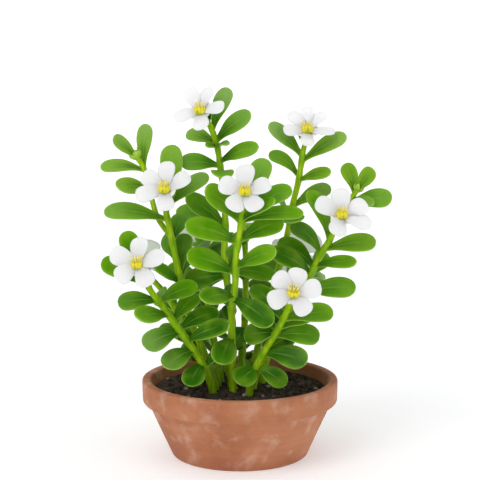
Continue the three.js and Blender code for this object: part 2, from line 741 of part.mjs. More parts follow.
for (const stem of [...STEMS, ...BACK_STEMS]) {
  curves.set(stem.name, stemCurve(stem));
  occupyStem(stem.name, curves.get(stem.name));
  if (stem.bloom) occupyBloom(blooms.get(stem.bloom), stem.name);
  if (stem.shoot) {
    curves.set(`${stem.name}_shoot`, shootCurve(curves.get(stem.name), stem.shoot));
    occupyStem(stem.name, curves.get(`${stem.name}_shoot`));
  }
}

const leaves = new Map([...STEMS, ...BACK_STEMS].map(({ name }) => [name, []]));

for (const { name, leaves: list, shoot } of STEMS) {
  for (const leaf of list) leaves.get(name).push(seenLeaf(name, curves.get(name), leaf));
  if (!shoot) continue;
  for (const leaf of shoot.leaves) leaves.get(name).push(seenLeaf(name, curves.get(`${name}_shoot`), leaf));
}

for (const { name } of BACK_STEMS) {
  BACK_PAIR_PLACES.forEach((place, pair) => {
    const heading = 90 * pair + draw(-BACK_LEAF.spread, BACK_LEAF.spread);
    for (const turn of [0, 180]) {
      leaves.get(name).push(ruledLeaf(name, curves.get(name), place, heading + turn, BACK_LEAF));
    }
  });
}

for (const { name, leaves: list } of STEMS) {
  for (const place of list.length > FEW_LEAVES ? REAR_PLACES : [0.5]) {
    const heading = 90 + draw(-REAR_LEAF.spread, REAR_LEAF.spread);
    leaves.get(name).push(ruledLeaf(name, curves.get(name), place, heading, REAR_LEAF));
  }
}

for (const stem of [...STEMS, ...BACK_STEMS]) {
  const curve = curves.get(stem.name);
  const solids = [loft(stemRings(curve, stemRadius, STEM_SIDES, STEM_STEP))];
  if (stem.shoot) {
    const shoot = curves.get(`${stem.name}_shoot`);
    solids.push(loft(stemRings(shoot, () => STEM_TIP_RADIUS, STEM_SIDES, STEM_STEP)));
    solids.push(budSolid(shoot.getPointAt(1), shoot.getTangentAt(1), stem.shoot.bud));
  }
  if (stem.bud) solids.push(budSolid(curve.getPointAt(1), curve.getTangentAt(1), stem.bud));
  if (stem.bloom) solids.push(toothedSolid(blooms.get(stem.bloom), CALYX_RINGS));
  for (const blade of leaves.get(stem.name)) {
    if (blade) solids.push(bladeSolid(blade, LEAF_OUTLINE, LEAF_THICKNESS, NECK_HALF_WIDTH));
  }
  plant.add(shown(stem.name, join(solids), leafGreen));
}

for (const [name, bloom] of blooms) {
  plant.add(shown(name, corollaSolid(bloom), petalWhite));
  plant.add(shown(`eye_${bloom.name}`, toothedSolid(bloom, EYE_RINGS), eyeYellow));
}

plant.add(makePot());
plant.add(makeSoil([...STEMS, ...BACK_STEMS].map(({ name }) => curves.get(name))));

export default plant;
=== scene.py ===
"""A potted water hyssop: its clay pot, soil, leafy stems and white blooms, dressed over the solids.

The layout of stems, leaves and blooms is the one that the solids follow, in millimetres. Each kind of piece
is modelled once, copied, and laid where the layout puts it.
"""
import math
import random

import bmesh
import bpy
import numpy as np
from mathutils import Matrix, Vector, noise


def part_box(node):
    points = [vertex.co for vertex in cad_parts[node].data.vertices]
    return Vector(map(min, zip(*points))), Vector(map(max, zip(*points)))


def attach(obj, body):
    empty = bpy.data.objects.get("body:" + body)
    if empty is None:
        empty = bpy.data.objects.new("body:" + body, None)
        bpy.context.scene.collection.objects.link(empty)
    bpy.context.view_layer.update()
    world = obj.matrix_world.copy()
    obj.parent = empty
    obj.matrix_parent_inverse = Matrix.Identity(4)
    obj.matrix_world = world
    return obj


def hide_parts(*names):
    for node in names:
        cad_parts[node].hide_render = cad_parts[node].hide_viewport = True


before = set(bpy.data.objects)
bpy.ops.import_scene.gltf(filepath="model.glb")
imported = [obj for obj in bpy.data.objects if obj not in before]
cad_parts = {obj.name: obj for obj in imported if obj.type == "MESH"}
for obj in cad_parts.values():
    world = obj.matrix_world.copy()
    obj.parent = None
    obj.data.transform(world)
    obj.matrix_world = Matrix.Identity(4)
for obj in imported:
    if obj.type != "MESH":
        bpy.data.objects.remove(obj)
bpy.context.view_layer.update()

bl_info = {
    "name": "Potted water hyssop",
    "version": (1, 0, 0),
    "blender": (4, 5, 0),
    "location": "3D View > Sidebar > Hyssop",
    "description": "Makes a water hyssop in flower, its soil and its clay pot, piece by piece",
    "category": "Add Mesh",
}

MM = 0.001
POT_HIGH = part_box("pot")[1]
SOIL_LOW, SOIL_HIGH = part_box("soil")

# What the pieces share with the solids, lengths in millimetres
RIM_RADIUS = 39.0
WALL = 3.4
POT_HEIGHT = 30.5
DRAINS = 3
DRAIN_RADIUS = 2
DRAIN_CIRCLE = 14
SOIL_TOP = 26.0
SOIL_BUMP = 0.55
GAP = 0.3
STEM_BURIED = 11.0
STEM_RADIUS = 1.6
STEM_TIP_RADIUS = 1.05
RECEPTACLE_BACK = 6.9
RECEPTACLE_LENGTH = 3.0
EYE_RADIUS = 2.1
THROAT_RADIUS = EYE_RADIUS + GAP
SEPALS = 5
SEPAL_TIPS = [[4.2, -2.9], [2.3, -5.3]]
PETAL_WIDTH = 7.6
PETAL_ROOT_OUT = 0.35
PETAL_ROOT_BACK = 1.35
PETAL_TIP_BACK = 0.2
PETAL_BOW_RISE = 0.6

# Shares and outlines of the blades, an outline being place along and share of the half width
PETAL_BOW_PLACE = 0.6
PETAL_TWIST = 0.12
LEAF_ARCH = 0.15
LEAF_OUTLINE = [[0, 0], [0.24, 0.44], [0.5, 0.98], [0.8, 0.92], [1, 0.36]]
PETAL_OUTLINE = [[0, 0.42], [0.35, 0.86], [0.66, 1], [0.88, 0.84], [1, 0.38]]
SAMPLE_ROWS = np.arange(2, 11) / 10
SAMPLE_COLUMNS = [-1, -0.5, 0, 0.5, 1]

# Room that a leaf is laid with, in millimetres
CLEAR = 2.1
LEAST_CLEAR = 1.5
FARTHEST = CLEAR + 1
REACH = CLEAR + 3
SOIL_NEARER = 0.4
STEM_NEARER = 0.3
RIM_MARGIN = 1.0
CALYX_ROOM = 1.6
EYE_ROOM = 1.5
SEPAL_ROOM = 0.3

# The eye that sees the front of the plant
EYE_DISTANCE = 533.0
EYE_TILT = math.radians(8)
AIM_UP = 59.2
RIGHT = np.array([1.0, 0.0, 0.0])
UP = np.array([0.0, math.sin(EYE_TILT), math.cos(EYE_TILT)])
INWARD = np.array([0.0, math.cos(EYE_TILT), -math.sin(EYE_TILT)])
SOIL_CENTRE = np.array([0.0, 0.0, SOIL_TOP])
EYE = SOIL_CENTRE + UP * AIM_UP - INWARD * EYE_DISTANCE

# Stems from the soil up: the foot where the stem leaves the soil, its path as seen (right, up, depth),
# and its leaves as up of the root on the stem, right, up and depth of the tip, width and perhaps arch
STEMS = [
    {"name": "left_outer", "foot": [-10.8, -8], "bloom": "left_low",
     "path": [[-16, 11.2, -10], [-30, 31.2, -14], [-37.5, 42.2, -17]],
     "leaves": [
         [42, -46.2, 62.6, -15, 8], [41, -55.5, 50.4, -17, 8.4], [34.8, -48.8, 33.6, -16, 8.6],
         [29.2, -40.8, 27.6, -24, 8.8], [22.4, -38.2, 16.2, -18, 9.6], [21, -33, 22, -4, 8],
         [15.2, -29.7, 8, -20, 9.6], [9.6, -19.8, 0.6, -22, 9], [23.2, -8.4, 30.4, -5, 8],
         [26.6, -16.4, 37, -3, 7.4], [18.8, -4.2, 24.4, -23, 8.4], [34, -17, 41, -11, 7.6],
     ]},
    {"name": "left", "foot": [-10, -1], "bloom": "left_high",
     "path": [[-21.2, 31.2, -3], [-24.8, 47.2, -4], [-28, 63.2, -5], [-29.8, 72.6, -5]],
     "leaves": [
         [67.4, -54.4, 70, -6, 8], [71.7, -12.4, 84.8, -4, 7], [58.7, -22.4, 69.1, 7, 7.4],
         [44.8, -21.6, 61.7, 5, 7.6], [43.6, -20, 55, 12, 7.4], [42, -34.4, 48, -14, 6.4],
         [74.5, -28, 97.2, 2, 9],
     ],
     "shoot":
         {"from": 60, "bud": 2, "path": [[-33, 68, -1], [-35.2, 75.2, 0], [-38, 87.2, 1], [-41, 92, 1]],
          "leaves": [
              [86.9, -55.8, 88.2, 4, 6.4], [91, -50.6, 100.4, -4, 5.8], [87.8, -37.2, 105.6, 4, 6.4],
              [79.2, -49, 80, -9, 8.6],
          ]}},
    {"name": "centre", "foot": [-2.8, -6], "bloom": "centre",
     "path": [
         [-3.3, 31.8, -12], [-2, 40.5, -14], [-1.6, 53.5, -15.5], [0.2, 64.8, -16.5], [1, 71.5, -16.5],
     ],
     "leaves": [
         [66.4, -14, 79.6, -22, 9.6], [57.8, -22, 64.4, -22, 10.6], [45.7, -21.3, 52.2, -22, 10],
         [37, -15, 34.8, -28, 9.6], [58.7, 17.5, 66.5, -14, 9], [48.3, 14.5, 53.9, -24, 8.4],
         [35.3, 12.3, 24.8, -25, 9.8], [66.5, 14, 74.4, -27, 6.2], [69, 10.6, 91.6, -10, 9.4],
         [68, 20.8, 79.6, -12, 8], [20, -8, 9.5, -23, 10], [66, 25.4, 69.6, -18, 6.2],
     ]},
    {"name": "top_left", "foot": [-3.5, 4], "bloom": "top_left",
     "path": [
         [-3.3, 27.6, 5], [-5, 40.4, 5], [-6.3, 53.6, 5], [-5.9, 66.4, 5], [-8, 89.2, 5], [-9.6, 98.6, 5],
         [-12, 105, 4],
     ],
     "leaves": [
         [103, -4.2, 119.8, 9, 7], [98.2, 4.5, 109.4, 0, 8.6], [97.7, -21.5, 101.6, 10, 7],
         [89.9, 7.3, 95.6, -6, 7.8], [88.6, -23.8, 89.6, -4, 8.2], [86, -6.5, 84, -10, 9],
         [66.4, -25.6, 70.4, 10, 7.6], [64, -21.8, 76, -2, 9.2], [44.8, -21.7, 41.8, -5, 9.4],
         [46, 14, 44.5, -3, 7.4], [96, -13.4, 96.6, -1, 3.4], [96, -4.6, 97.4, 0, 3.4],
     ]},
    {"name": "top_right", "foot": [4.5, 6], "bloom": "top_right",
     "path": [
         [8, 20, 9], [14, 42, 10], [19.2, 63, 10], [21.4, 75.2, 9], [23.2, 82, 9], [24.5, 90, 8.5],
         [25.6, 97, 8],
     ],
     "leaves": [
         [92.5, 11.3, 105, 3, 7.6], [90.4, 42.7, 100.4, -2, 7.4], [83.8, 11.4, 93.2, 13, 6, 0.3],
         [83, 36.2, 85.8, 0, 6], [72, 36.4, 80, 13, 7], [68.5, 20.5, 66, -8, 10.5],
     ]},
    {"name": "right", "foot": [5, -2], "bloom": "right",
     "path": [[12, 18, -1], [24, 37.2, -2], [27.9, 44.8, -2], [32.3, 53.6, -3], [36.4, 60, -4]],
     "leaves": [
         [55.2, 54.4, 57.8, -6, 8.6], [48.8, 46.3, 49.6, -12, 6.4], [38, 46.2, 39.2, -8, 9],
         [53.5, 18, 66.5, -6, 8.2, 0.28], [58.8, 26.6, 78.2, -2, 7, 0.28], [48, 15.2, 58.8, 7, 8.6],
         [45.5, 12, 54.4, 0, 9], [44, 33.5, 44, 10, 4.4],
     ],
     "shoot":
         {"from": 58.5, "bud": 1.7, "path": [[41, 69, 3], [44.6, 76, 4], [46.6, 79, 4]],
          "leaves": [
              [77.6, 41.8, 89.7, 8, 6.6], [77.6, 53.2, 87.7, 3, 6.6], [74, 60.7, 75.2, 0, 8.6],
              [75.5, 53, 73, -3, 5],
          ]}},
    {"name": "right_low", "foot": [3.5, -10], "bloom": "right_low",
     "path": [[5.6, 6.2, -11], [10.6, 16.2, -14], [15.8, 24.8, -17], [18.8, 31, -19]],
     "leaves": [
         [14, 26.6, 10.1, -20, 9.6], [21, 31.8, 20.1, -15, 9], [27.4, 37.3, 30, -15, 8.6],
         [27.5, 4.5, 40.5, -21, 8.4], [24, 12.5, 32, -6, 6], [22, 1.6, 20.5, -13, 9.2],
         [8, -1, 1.8, -21, 9.6], [8.4, 18, 0.8, -17, 7.8],
     ]},
    {"name": "left_hidden", "foot": [-9, 5], "bloom": "left_hidden",
     "path": [[-20, 22, 6], [-31, 39, 6], [-37, 45, 5]],
     "leaves": [[30, -31, 38, 16, 8], [18, -22, 12, 14, 8]]},
]

BACK_STEMS = [
    {"name": "back_left", "foot": [-8, 11], "bloom": "back_left", "path": [[-12, 28, 19], [-15, 52, 25]]},
    {"name": "back_middle", "foot": [0, 12], "bud": 2, "path": [[2, 30, 22], [2, 56, 30], [1, 66, 31]]},
    {"name": "back_right", "foot": [9, 10], "bloom": "back_right", "path": [[14, 26, 18], [20, 47, 24]]},
    {"name": "back_low_left", "foot": [-4, 17], "bud": 2, "path": [[-10, 16, 29], [-17, 37, 38]]},
    {"name": "back_low_right", "foot": [5, 17], "bud": 2, "path": [[11, 16, 29], [20, 34, 38]]},
]

# Blooms: the middle as seen, the way it faces (right, up, toward the eye), and its petals as turn in
# degrees and length, with their breadth where it is not the usual one
BLOOMS = [
    {"name": "centre", "middle": [1.9, 78.9, -25], "faces": [0, 0.42, 0.9],
     "petals": [[90, 10.7], [18, 10.8], [162, 10.8], [234, 9.5], [306, 9.5]]},
    {"name": "left_high", "middle": [-30.4, 79.9, -14], "faces": [-0.15, 0.4, 0.9], "breadth": 7,
     "petals": [[83, 10.9], [27, 11.6], [275, 9], [196, 11.8], [145, 10.4]]},
    {"name": "left_low", "middle": [-41.3, 49.8, -25], "faces": [-0.25, 0.3, 0.92],
     "petals": [[157, 11.4], [84, 10.6], [18, 11.6], [299, 10.2], [218, 10.4]]},
    {"name": "left_hidden", "middle": [-38.6, 51, -3], "faces": [0.2, 0.5, 0.85],
     "petals": [[62, 9], [128, 8], [200, 8], [272, 7.5], [350, 8]]},
    {"name": "right_low", "middle": [21.4, 38.3, -27], "faces": [0.05, 0.15, 0.99],
     "petals": [[137, 10.5], [77, 10], [11, 11.3], [303, 10.5], [203, 11]]},
    {"name": "right", "middle": [40.8, 69.7, -13], "faces": [0.15, 0.4, 0.9],
     "petals": [[154, 11.6], [94, 10.3], [23, 10.8], [339, 12.6], [255, 9]]},
    {"name": "top_left", "middle": [-16, 111.3, -3], "faces": [-0.35, 0.5, 0.79], "breadth": 6.6,
     "petals": [[120, 10], [70, 9.8], [10, 9.8], [273, 8], [196, 11]]},
    {"name": "top_right", "middle": [26.9, 103.8, 2], "faces": [0.05, 0.62, 0.78], "breadth": 5.8,
     "petals": [[136, 9.8], [91, 8.8], [45, 9.3], [184, 9.6], [354, 11.2], [271, 7]]},
    {"name": "back_left", "middle": [-17, 60, 33], "faces": [-0.35, 0.35, -0.87],
     "petals": [[90, 10.5], [18, 10.5], [162, 10.5], [234, 10], [306, 10]]},
    {"name": "back_right", "middle": [23, 55, 32], "faces": [0.4, 0.35, -0.85],
     "petals": [[96, 10.5], [24, 10.5], [168, 10.5], [240, 10], [312, 10]]},
]

# Leaves placed by rule, at the back and behind the front stems, and what is tried until a leaf is clear
BACK_LEAF = {"length": 18, "width": 8.8, "lean": (0.35, 0.7), "spread": 18}
BACK_PAIR_PLACES = [0.3, 0.49, 0.69, 0.88]
REAR_LEAF = {"length": 15, "width": 8, "lean": (0.4, 0.7), "spread": 30}
REAR_PLACES = [0.3, 0.5, 0.7]
ONE_REAR_PLACE = [0.5]
FEW_LEAVES = 4
FRONT_FACE = np.array([0.0, -0.8, 0.6])
RULED_FACE_OUT = 0.75
RULED_FACE_UP = np.array([0, 0, 0.66])
DEPTH_SHIFTS = [0, -2, 2, -4, 4, -6, 6, -9, 9, -12, 12, -15, 15]
SHORTER = [1, 0.86, 0.74]
SWINGS = [0, 14, -14, 28, -28, 42, -42]

# The seeded draw that the solids use too
FIRST_SEED = 41
SEED_FACTOR = 16807
SEED_LIMIT = 2147483647


def unit(v):
    return v / np.linalg.norm(v)


def units(rows):
    return rows / np.linalg.norm(rows, axis=1, keepdims=True)


def sight_line(right, up):
    """A place of the picture, over the soil's middle, and the way there from the eye."""
    start = SOIL_CENTRE + RIGHT * right + UP * up
    return start, start - EYE


def seen(right, up, depth):
    """The place at a depth that is seen at a place of the picture."""
    start, along = sight_line(right, up)
    return start + along * (depth - start[1]) / along[1]


def seen_on_plane(right, up, middle, normal):
    """The place on a plane that is seen at a place of the picture."""
    start, along = sight_line(right, up)
    return start + along * np.dot(middle - start, normal) / np.dot(along, normal)


def up_of(points):
    """How high in the picture each point is seen."""
    sight = points - EYE
    return AIM_UP + EYE_DISTANCE * (sight @ UP) / (sight @ INWARD)


class Run:
    """A smooth line through points, read by the share of its length."""

    STEPS = np.linspace(0, 1, 201)
    STEM_SHARES = np.arange(161) / 160
    HAIR = 1e-4

    def __init__(self, points):
        p = np.array(points, float)
        self.knots = np.vstack([2 * p[0] - p[1], p, 2 * p[-1] - p[-2]])
        self.spans = len(p) - 1
        walked = np.linalg.norm(np.diff(self.raw(self.STEPS), axis=0), axis=1)
        self.lengths = np.concatenate([[0], np.cumsum(walked)])
        self.length = self.lengths[-1]

    def raw(self, t):
        """Points by their time, which runs evenly from point to point."""
        t = np.atleast_1d(t) * self.spans
        first = np.minimum(t.astype(int), self.spans - 1)
        w = (t - first)[:, None]
        a, b, c, d = (self.knots[first + i] for i in range(4))
        pairs = ((a, b), (b, c), (c, d))
        g0, g1, g2 = (np.sum((q - p) ** 2, axis=1, keepdims=True) ** 0.25 for p, q in pairs)
        t1 = ((b - a) / g0 - (c - a) / (g0 + g1) + (c - b) / g1) * g1
        t2 = ((c - b) / g1 - (d - b) / (g1 + g2) + (d - c) / g2) * g1
        return b + t1 * w + (3 * (c - b) - 2 * t1 - t2) * w**2 + (2 * (b - c) + t1 + t2) * w**3

    def time(self, share):
        return np.interp(np.atleast_1d(share) * self.length, self.lengths, self.STEPS)

    def at(self, share):
        return self.raw(self.time(share))

    def along(self, share):
        t = self.time(share)
        way = self.raw(np.minimum(t + self.HAIR, 1)) - self.raw(np.maximum(t - self.HAIR, 0))
        return units(way)

    def seen_at(self, up):
        """The share, place and heading where the line is seen at a height of the picture."""
        share = self.STEM_SHARES[np.argmin(np.abs(up_of(self.at(self.STEM_SHARES)) - up))]
        return share, self.at(share)[0], self.along(share)[0]


def stem_radius(share):
    return STEM_RADIUS + (STEM_TIP_RADIUS - STEM_RADIUS) * share


def turned(v, axis, angle):
    kept = 1 - math.cos(angle)
    return v * math.cos(angle) + np.cross(axis, v) * math.sin(angle) + axis * (axis @ v) * kept


def leaf_blade(root, tip, rise, face, width, arch):
    bow = (root + tip) / 2 + rise * arch * np.linalg.norm(tip - root)
    return {"root": root, "tip": tip, "bow": bow, "face": face, "width": width}


def petal_blade(bloom, tip):
    middle, axis = bloom["middle"], bloom["axis"]
    length = np.linalg.norm(tip - middle)
    outward = (tip - middle) / length
    return {
        "root": middle + outward * (THROAT_RADIUS + PETAL_ROOT_OUT) - axis * PETAL_ROOT_BACK,
        "tip": tip - axis * PETAL_TIP_BACK,
        "bow": middle + outward * length * PETAL_BOW_PLACE + axis * PETAL_BOW_RISE,
        "face": axis + np.cross(axis, outward) * PETAL_TWIST,
        "width": bloom["breadth"],
    }


def blade_points(blade, along, across, lift):
    """Points of a blade by their place along it, across it and over it."""
    root, tip, bow, face = (blade[key] for key in ("root", "tip", "bow", "face"))
    s = along[:, None]
    point = root * (1 - s) ** 2 + bow * 2 * s * (1 - s) + tip * s**2
    tangent = units((bow - root) * (1 - s) + (tip - bow) * s)
    normal = units(face - tangent * (tangent @ face)[:, None])
    return point + np.cross(tangent, normal) * across[:, None] + normal * lift[:, None]


def blade_samples(blade, outline):
    """A few points all over a blade and their places along it."""
    along = np.repeat(SAMPLE_ROWS, len(SAMPLE_COLUMNS))
    across = np.tile(SAMPLE_COLUMNS, len(SAMPLE_ROWS))
    half = blade["width"] / 2 * np.interp(along, *np.array(outline, float).T)
    return along, blade_points(blade, along, half * across, 0 * along)


def calyx_ring(bloom):
    """The tips of a calyx and the notches between them, in turn."""
    first = unit(bloom["tips"][0] - bloom["middle"])
    tooth, notch = SEPAL_TIPS
    ring = []
    for step in range(2 * SEPALS):
        radius, height = notch if step % 2 else tooth
        outward = turned(first, bloom["axis"], math.pi * (step + 1) / SEPALS)
        ring.append(bloom["middle"] + outward * radius + bloom["axis"] * height)
    return np.array(ring)


class Clump:
    """Where every stem, bloom and leaf grows, each leaf bent until it is clear of the rest."""

    def __init__(self):
        self.seed = FIRST_SEED
        self.owners, self.stalks, self.points, self.rooms = [], [], [], []
        self.blooms = {bloom["name"]: self.set_bloom(bloom) for bloom in BLOOMS}
        self.runs, self.shoots = {}, {}
        for stem in STEMS + BACK_STEMS:
            self.set_stem(stem)
        self.leaves = {name: [] for name in self.runs}
        for stem in STEMS:
            name = stem["name"]
            for leaf in stem["leaves"]:
                self.seen_leaf(name, self.runs[name], leaf)
            for leaf in stem.get("shoot", {}).get("leaves", []):
                self.seen_leaf(name, self.shoots[name], leaf)
        for stem in BACK_STEMS:
            for pair, place in enumerate(BACK_PAIR_PLACES):
                heading = 90 * pair + self.draw(-BACK_LEAF["spread"], BACK_LEAF["spread"])
                for turn in (0, 180):
                    self.ruled_leaf(stem["name"], place, heading + turn, BACK_LEAF)
        for stem in STEMS:
            for place in REAR_PLACES if len(stem["leaves"]) > FEW_LEAVES else ONE_REAR_PLACE:
                heading = 90 + self.draw(-REAR_LEAF["spread"], REAR_LEAF["spread"])
                self.ruled_leaf(stem["name"], place, heading, REAR_LEAF)

    def draw(self, least, most):
        self.seed = (self.seed * SEED_FACTOR) % SEED_LIMIT
        return least + (most - least) * self.seed / SEED_LIMIT

    def occupy(self, owner, points, rooms, stalk=False):
        """Keeps leaves off points, each with the room that its piece needs round it."""
        points = np.atleast_2d(points)
        self.owners += [owner] * len(points)
        self.stalks += [stalk] * len(points)
        self.points += list(points)
        self.rooms += list(np.broadcast_to(rooms, len(points)))

    def set_bloom(self, bloom):
        right, up, toward = bloom["faces"]
        axis = unit(RIGHT * right + UP * up - INWARD * toward)
        middle = seen(*bloom["middle"])
        tips = []
        for heading, length in bloom["petals"]:
            turn = math.radians(heading)
            right = bloom["middle"][0] + length * math.cos(turn)
            up = bloom["middle"][1] + length * math.sin(turn)
            tips.append(seen_on_plane(right, up, middle, axis))
        return {"middle": middle, "axis": axis, "tips": tips, "breadth": bloom.get("breadth", PETAL_WIDTH)}

    def set_stem(self, stem):
        name = stem["name"]
        x, y = stem["foot"]
        points = [(x, y, SOIL_TOP - STEM_BURIED), (x, y, SOIL_TOP + 1)]
        points += [seen(*place) for place in stem["path"]]
        bloom = self.blooms.get(stem.get("bloom"))
        if bloom:
            for back in (RECEPTACLE_BACK + RECEPTACLE_LENGTH, RECEPTACLE_BACK):
                points.append(bloom["middle"] - bloom["axis"] * back)
        self.runs[name] = Run(points)
        self.occupy_run(name, self.runs[name])
        if bloom:
            self.occupy_bloom(stem["bloom"], bloom, name)
        if "shoot" in stem:
            start = self.runs[name].seen_at(stem["shoot"]["from"])[1]
            self.shoots[name] = Run([start] + [seen(*place) for place in stem["shoot"]["path"]])
            self.occupy_run(name, self.shoots[name])

    def occupy_run(self, owner, run):
        steps = math.floor(run.length + 0.5)
        shares = np.arange(steps + 1) / steps
        self.occupy(owner, run.at(shares), stem_radius(shares) - STEM_NEARER, stalk=True)

    def occupy_bloom(self, name, bloom, stem):
        middle, axis = bloom["middle"], bloom["axis"]
        for tip in bloom["tips"]:
            self.occupy("bloom " + name, blade_samples(petal_blade(bloom, tip), PETAL_OUTLINE)[1], 0)
        for back in range(int(RECEPTACLE_BACK) + 1):
            self.occupy(stem, middle - axis * back, CALYX_ROOM)
        self.occupy("bloom " + name, middle + axis * EYE_ROOM, EYE_ROOM)
        self.occupy(stem, calyx_ring(bloom), SEPAL_ROOM)

    def room_around(self, blade, owner):
        """How far a leaf is from the soil, the pot and all that stands already."""
        along, points = blade_samples(blade, LEAF_OUTLINE)
        radius = np.hypot(points[:, 0], points[:, 1])
        under = np.where(radius > RIM_RADIUS - WALL - 2 * RIM_MARGIN, POT_HEIGHT, SOIL_TOP)
        over = np.where(radius > RIM_RADIUS + RIM_MARGIN, CLEAR, points[:, 2] - under + SOIL_NEARER)
        least = min(FARTHEST, over.min())
        near = np.all((self.at > points.min(0) - REACH) & (self.at < points.max(0) + REACH), axis=1)
        if not near.any():
            return least
        room = np.linalg.norm(points[:, None] - self.at[near][None], axis=2) - self.room[near]
        own = self.owner[near] == owner
        skip = own[None] & (self.on_stalk[near][None] | (along < 0.5)[:, None])
        return min(least, np.where(skip, np.inf, room).min())

    def place_leaf(self, owner, choices):
        """Keeps the first choice that is clear of the rest, or else the clearest, unless it is too near."""
        self.at = np.array(self.points)
        self.room = np.array(self.rooms, float)
        self.owner = np.array(self.owners)
        self.on_stalk = np.array(self.stalks)
        best, most = None, -math.inf
        for blade in choices:
            room = self.room_around(blade, owner)
            if room > most:
                best, most = blade, room
            if most >= CLEAR:
                break
        if most >= LEAST_CLEAR:
            self.occupy(owner, blade_samples(best, LEAF_OUTLINE)[1], 0)
            self.leaves[owner].append(best)

    def seen_leaf(self, owner, run, leaf):
        """A leaf whose tip is seen in the picture."""
        place, right, up, depth, width = leaf[:5]
        arch = leaf[5] if len(leaf) > 5 else LEAF_ARCH
        root, rise = run.seen_at(place)[1:]
        choices = []
        for part in SHORTER:
            for shift in DEPTH_SHIFTS:
                tip = root + (seen(right, up, depth + shift) - root) * part
                choices.append(leaf_blade(root, tip, rise, FRONT_FACE, width * part, arch))
        self.place_leaf(owner, choices)

    def ruled_leaf(self, owner, place, heading, kind):
        """A leaf that grows from its place on a stem toward a heading."""
        root, rise = self.runs[owner].at(place)[0], self.runs[owner].along(place)[0]
        lean = self.draw(*kind["lean"])
        choices = []
        for part in SHORTER:
            for swing in SWINGS:
                turn = math.radians(heading + swing)
                outward = np.array([math.cos(turn), math.sin(turn), 0])
                length = kind["length"] * part
                tip = root + outward * length * math.cos(lean) + rise * length * math.sin(lean)
                face = unit(np.array([tip[0], tip[1], 0])) * RULED_FACE_OUT + RULED_FACE_UP
                choices.append(leaf_blade(root, tip, rise, face, kind["width"] * part, LEAF_ARCH))
        self.place_leaf(owner, choices)


clump = Clump()


# Finishes


def fed(colour):
    """A colour as a socket takes it, unless it comes from a node."""
    return colour if isinstance(colour, bpy.types.NodeSocket) else (*colour[:3], 1)


class Finish:
    """A material in the making: its nodes, its shader, and its body colour as coats go over it."""

    def __init__(self, name, body=None, **sockets):
        self.material = bpy.data.materials.new(name)
        self.material.use_nodes = True
        self.tree = self.material.node_tree
        self.shader = self.tree.nodes["Principled BSDF"]
        self.body = body
        for key, value in sockets.items():
            self.shader.inputs[key.replace("_", " ")].default_value = value

    def feed(self, socket, value):
        if isinstance(value, bpy.types.NodeSocket):
            self.tree.links.new(value, socket)
        else:
            socket.default_value = value

    def node(self, kind, settings=None, **inputs):
        """A shader node with its settings, its numbers and what feeds it."""
        node = self.tree.nodes.new("ShaderNode" + kind)
        for key, value in (settings or {}).items():
            setattr(node, key, value)
        for key, value in inputs.items():
            self.feed(node.inputs[key.replace("_", " ")], value)
        return node

    def reckon(self, operation, *values):
        node = self.node("Math", {"operation": operation})
        for socket, value in zip(node.inputs, values):
            self.feed(socket, value)
        return node.outputs[0]

    def times(self, value, factor):
        return self.reckon("MULTIPLY", value, factor)

    def sloped(self, value, factor, start):
        return self.reckon("MULTIPLY_ADD", value, factor, start)

    def eased(self, value, start, end):
        """Goes from 0 to 1 as the value goes from start to end, also where end is the lower."""
        smooth = {"interpolation_type": "SMOOTHSTEP"}
        return self.node("MapRange", smooth, Value=value, From_Min=start, From_Max=end).outputs["Result"]

    def coat(self, colour, share, most=None):
        """Lays a colour over what is there by a share, which goes up to most."""
        if most is not None:
            share = self.times(share, most)
        node = self.node("Mix", {"data_type": "RGBA"})
        for place, value in ((0, share), (6, fed(self.body)), (7, fed(colour))):
            self.feed(node.inputs[place], value)
        self.body = node.outputs[2]

    def ramp(self, value, *stops):
        """Starts the body colour as one that goes through stops with a value."""
        node = self.node("ValToRGB", Fac=value)
        points = node.color_ramp.elements
        while len(points) < len(stops):
            points.new(1)
        for point, (place, colour) in zip(points, stops):
            point.position = place
            point.color = fed(colour)
        self.body = node.outputs["Color"]

    def grain(self, scale, stretch=(1, 1, 1), detail=3.0, place=None):
        """Noise fixed to the piece, with its grain drawn out along an axis where asked."""
        if place is None:
            place = self.node("TexCoord").outputs["Object"]
        if stretch != (1, 1, 1):
            place = self.node("Mapping", Vector=place, Scale=stretch).outputs[0]
        return self.node("TexNoise", Vector=place, Scale=scale, Detail=detail).outputs[0]

    def height(self):
        return self.node("SeparateXYZ", Vector=self.node("TexCoord").outputs["Object"]).outputs[2]

    def uv(self):
        return self.node("UVMap", {"uv_map": "UVMap"}).outputs[0]

    def along_and_across(self):
        """The place along a blade, from 0 to 1, and how far it is from its middle line, from 0 to 1."""
        parts = self.node("SeparateXYZ", Vector=self.uv()).outputs
        return parts[1], self.reckon("ABSOLUTE", self.sloped(parts[0], 2.0, -1.0))

    def marked(self, name):
        return self.node("Attribute", {"attribute_name": name}).outputs["Fac"]

    def done(self, rough=None, relief=None, depth=0.0, strength=1.0):
        """Links the body colour, the roughness and any relief to the shader."""
        self.feed(self.shader.inputs["Base Color"], self.body)
        if rough is not None:
            self.feed(self.shader.inputs["Roughness"], rough)
        if relief is not None:
            bump = self.node("Bump", Height=relief, Distance=depth, Strength=strength)
            self.feed(self.shader.inputs["Normal"], bump.outputs[0])
        return self.material


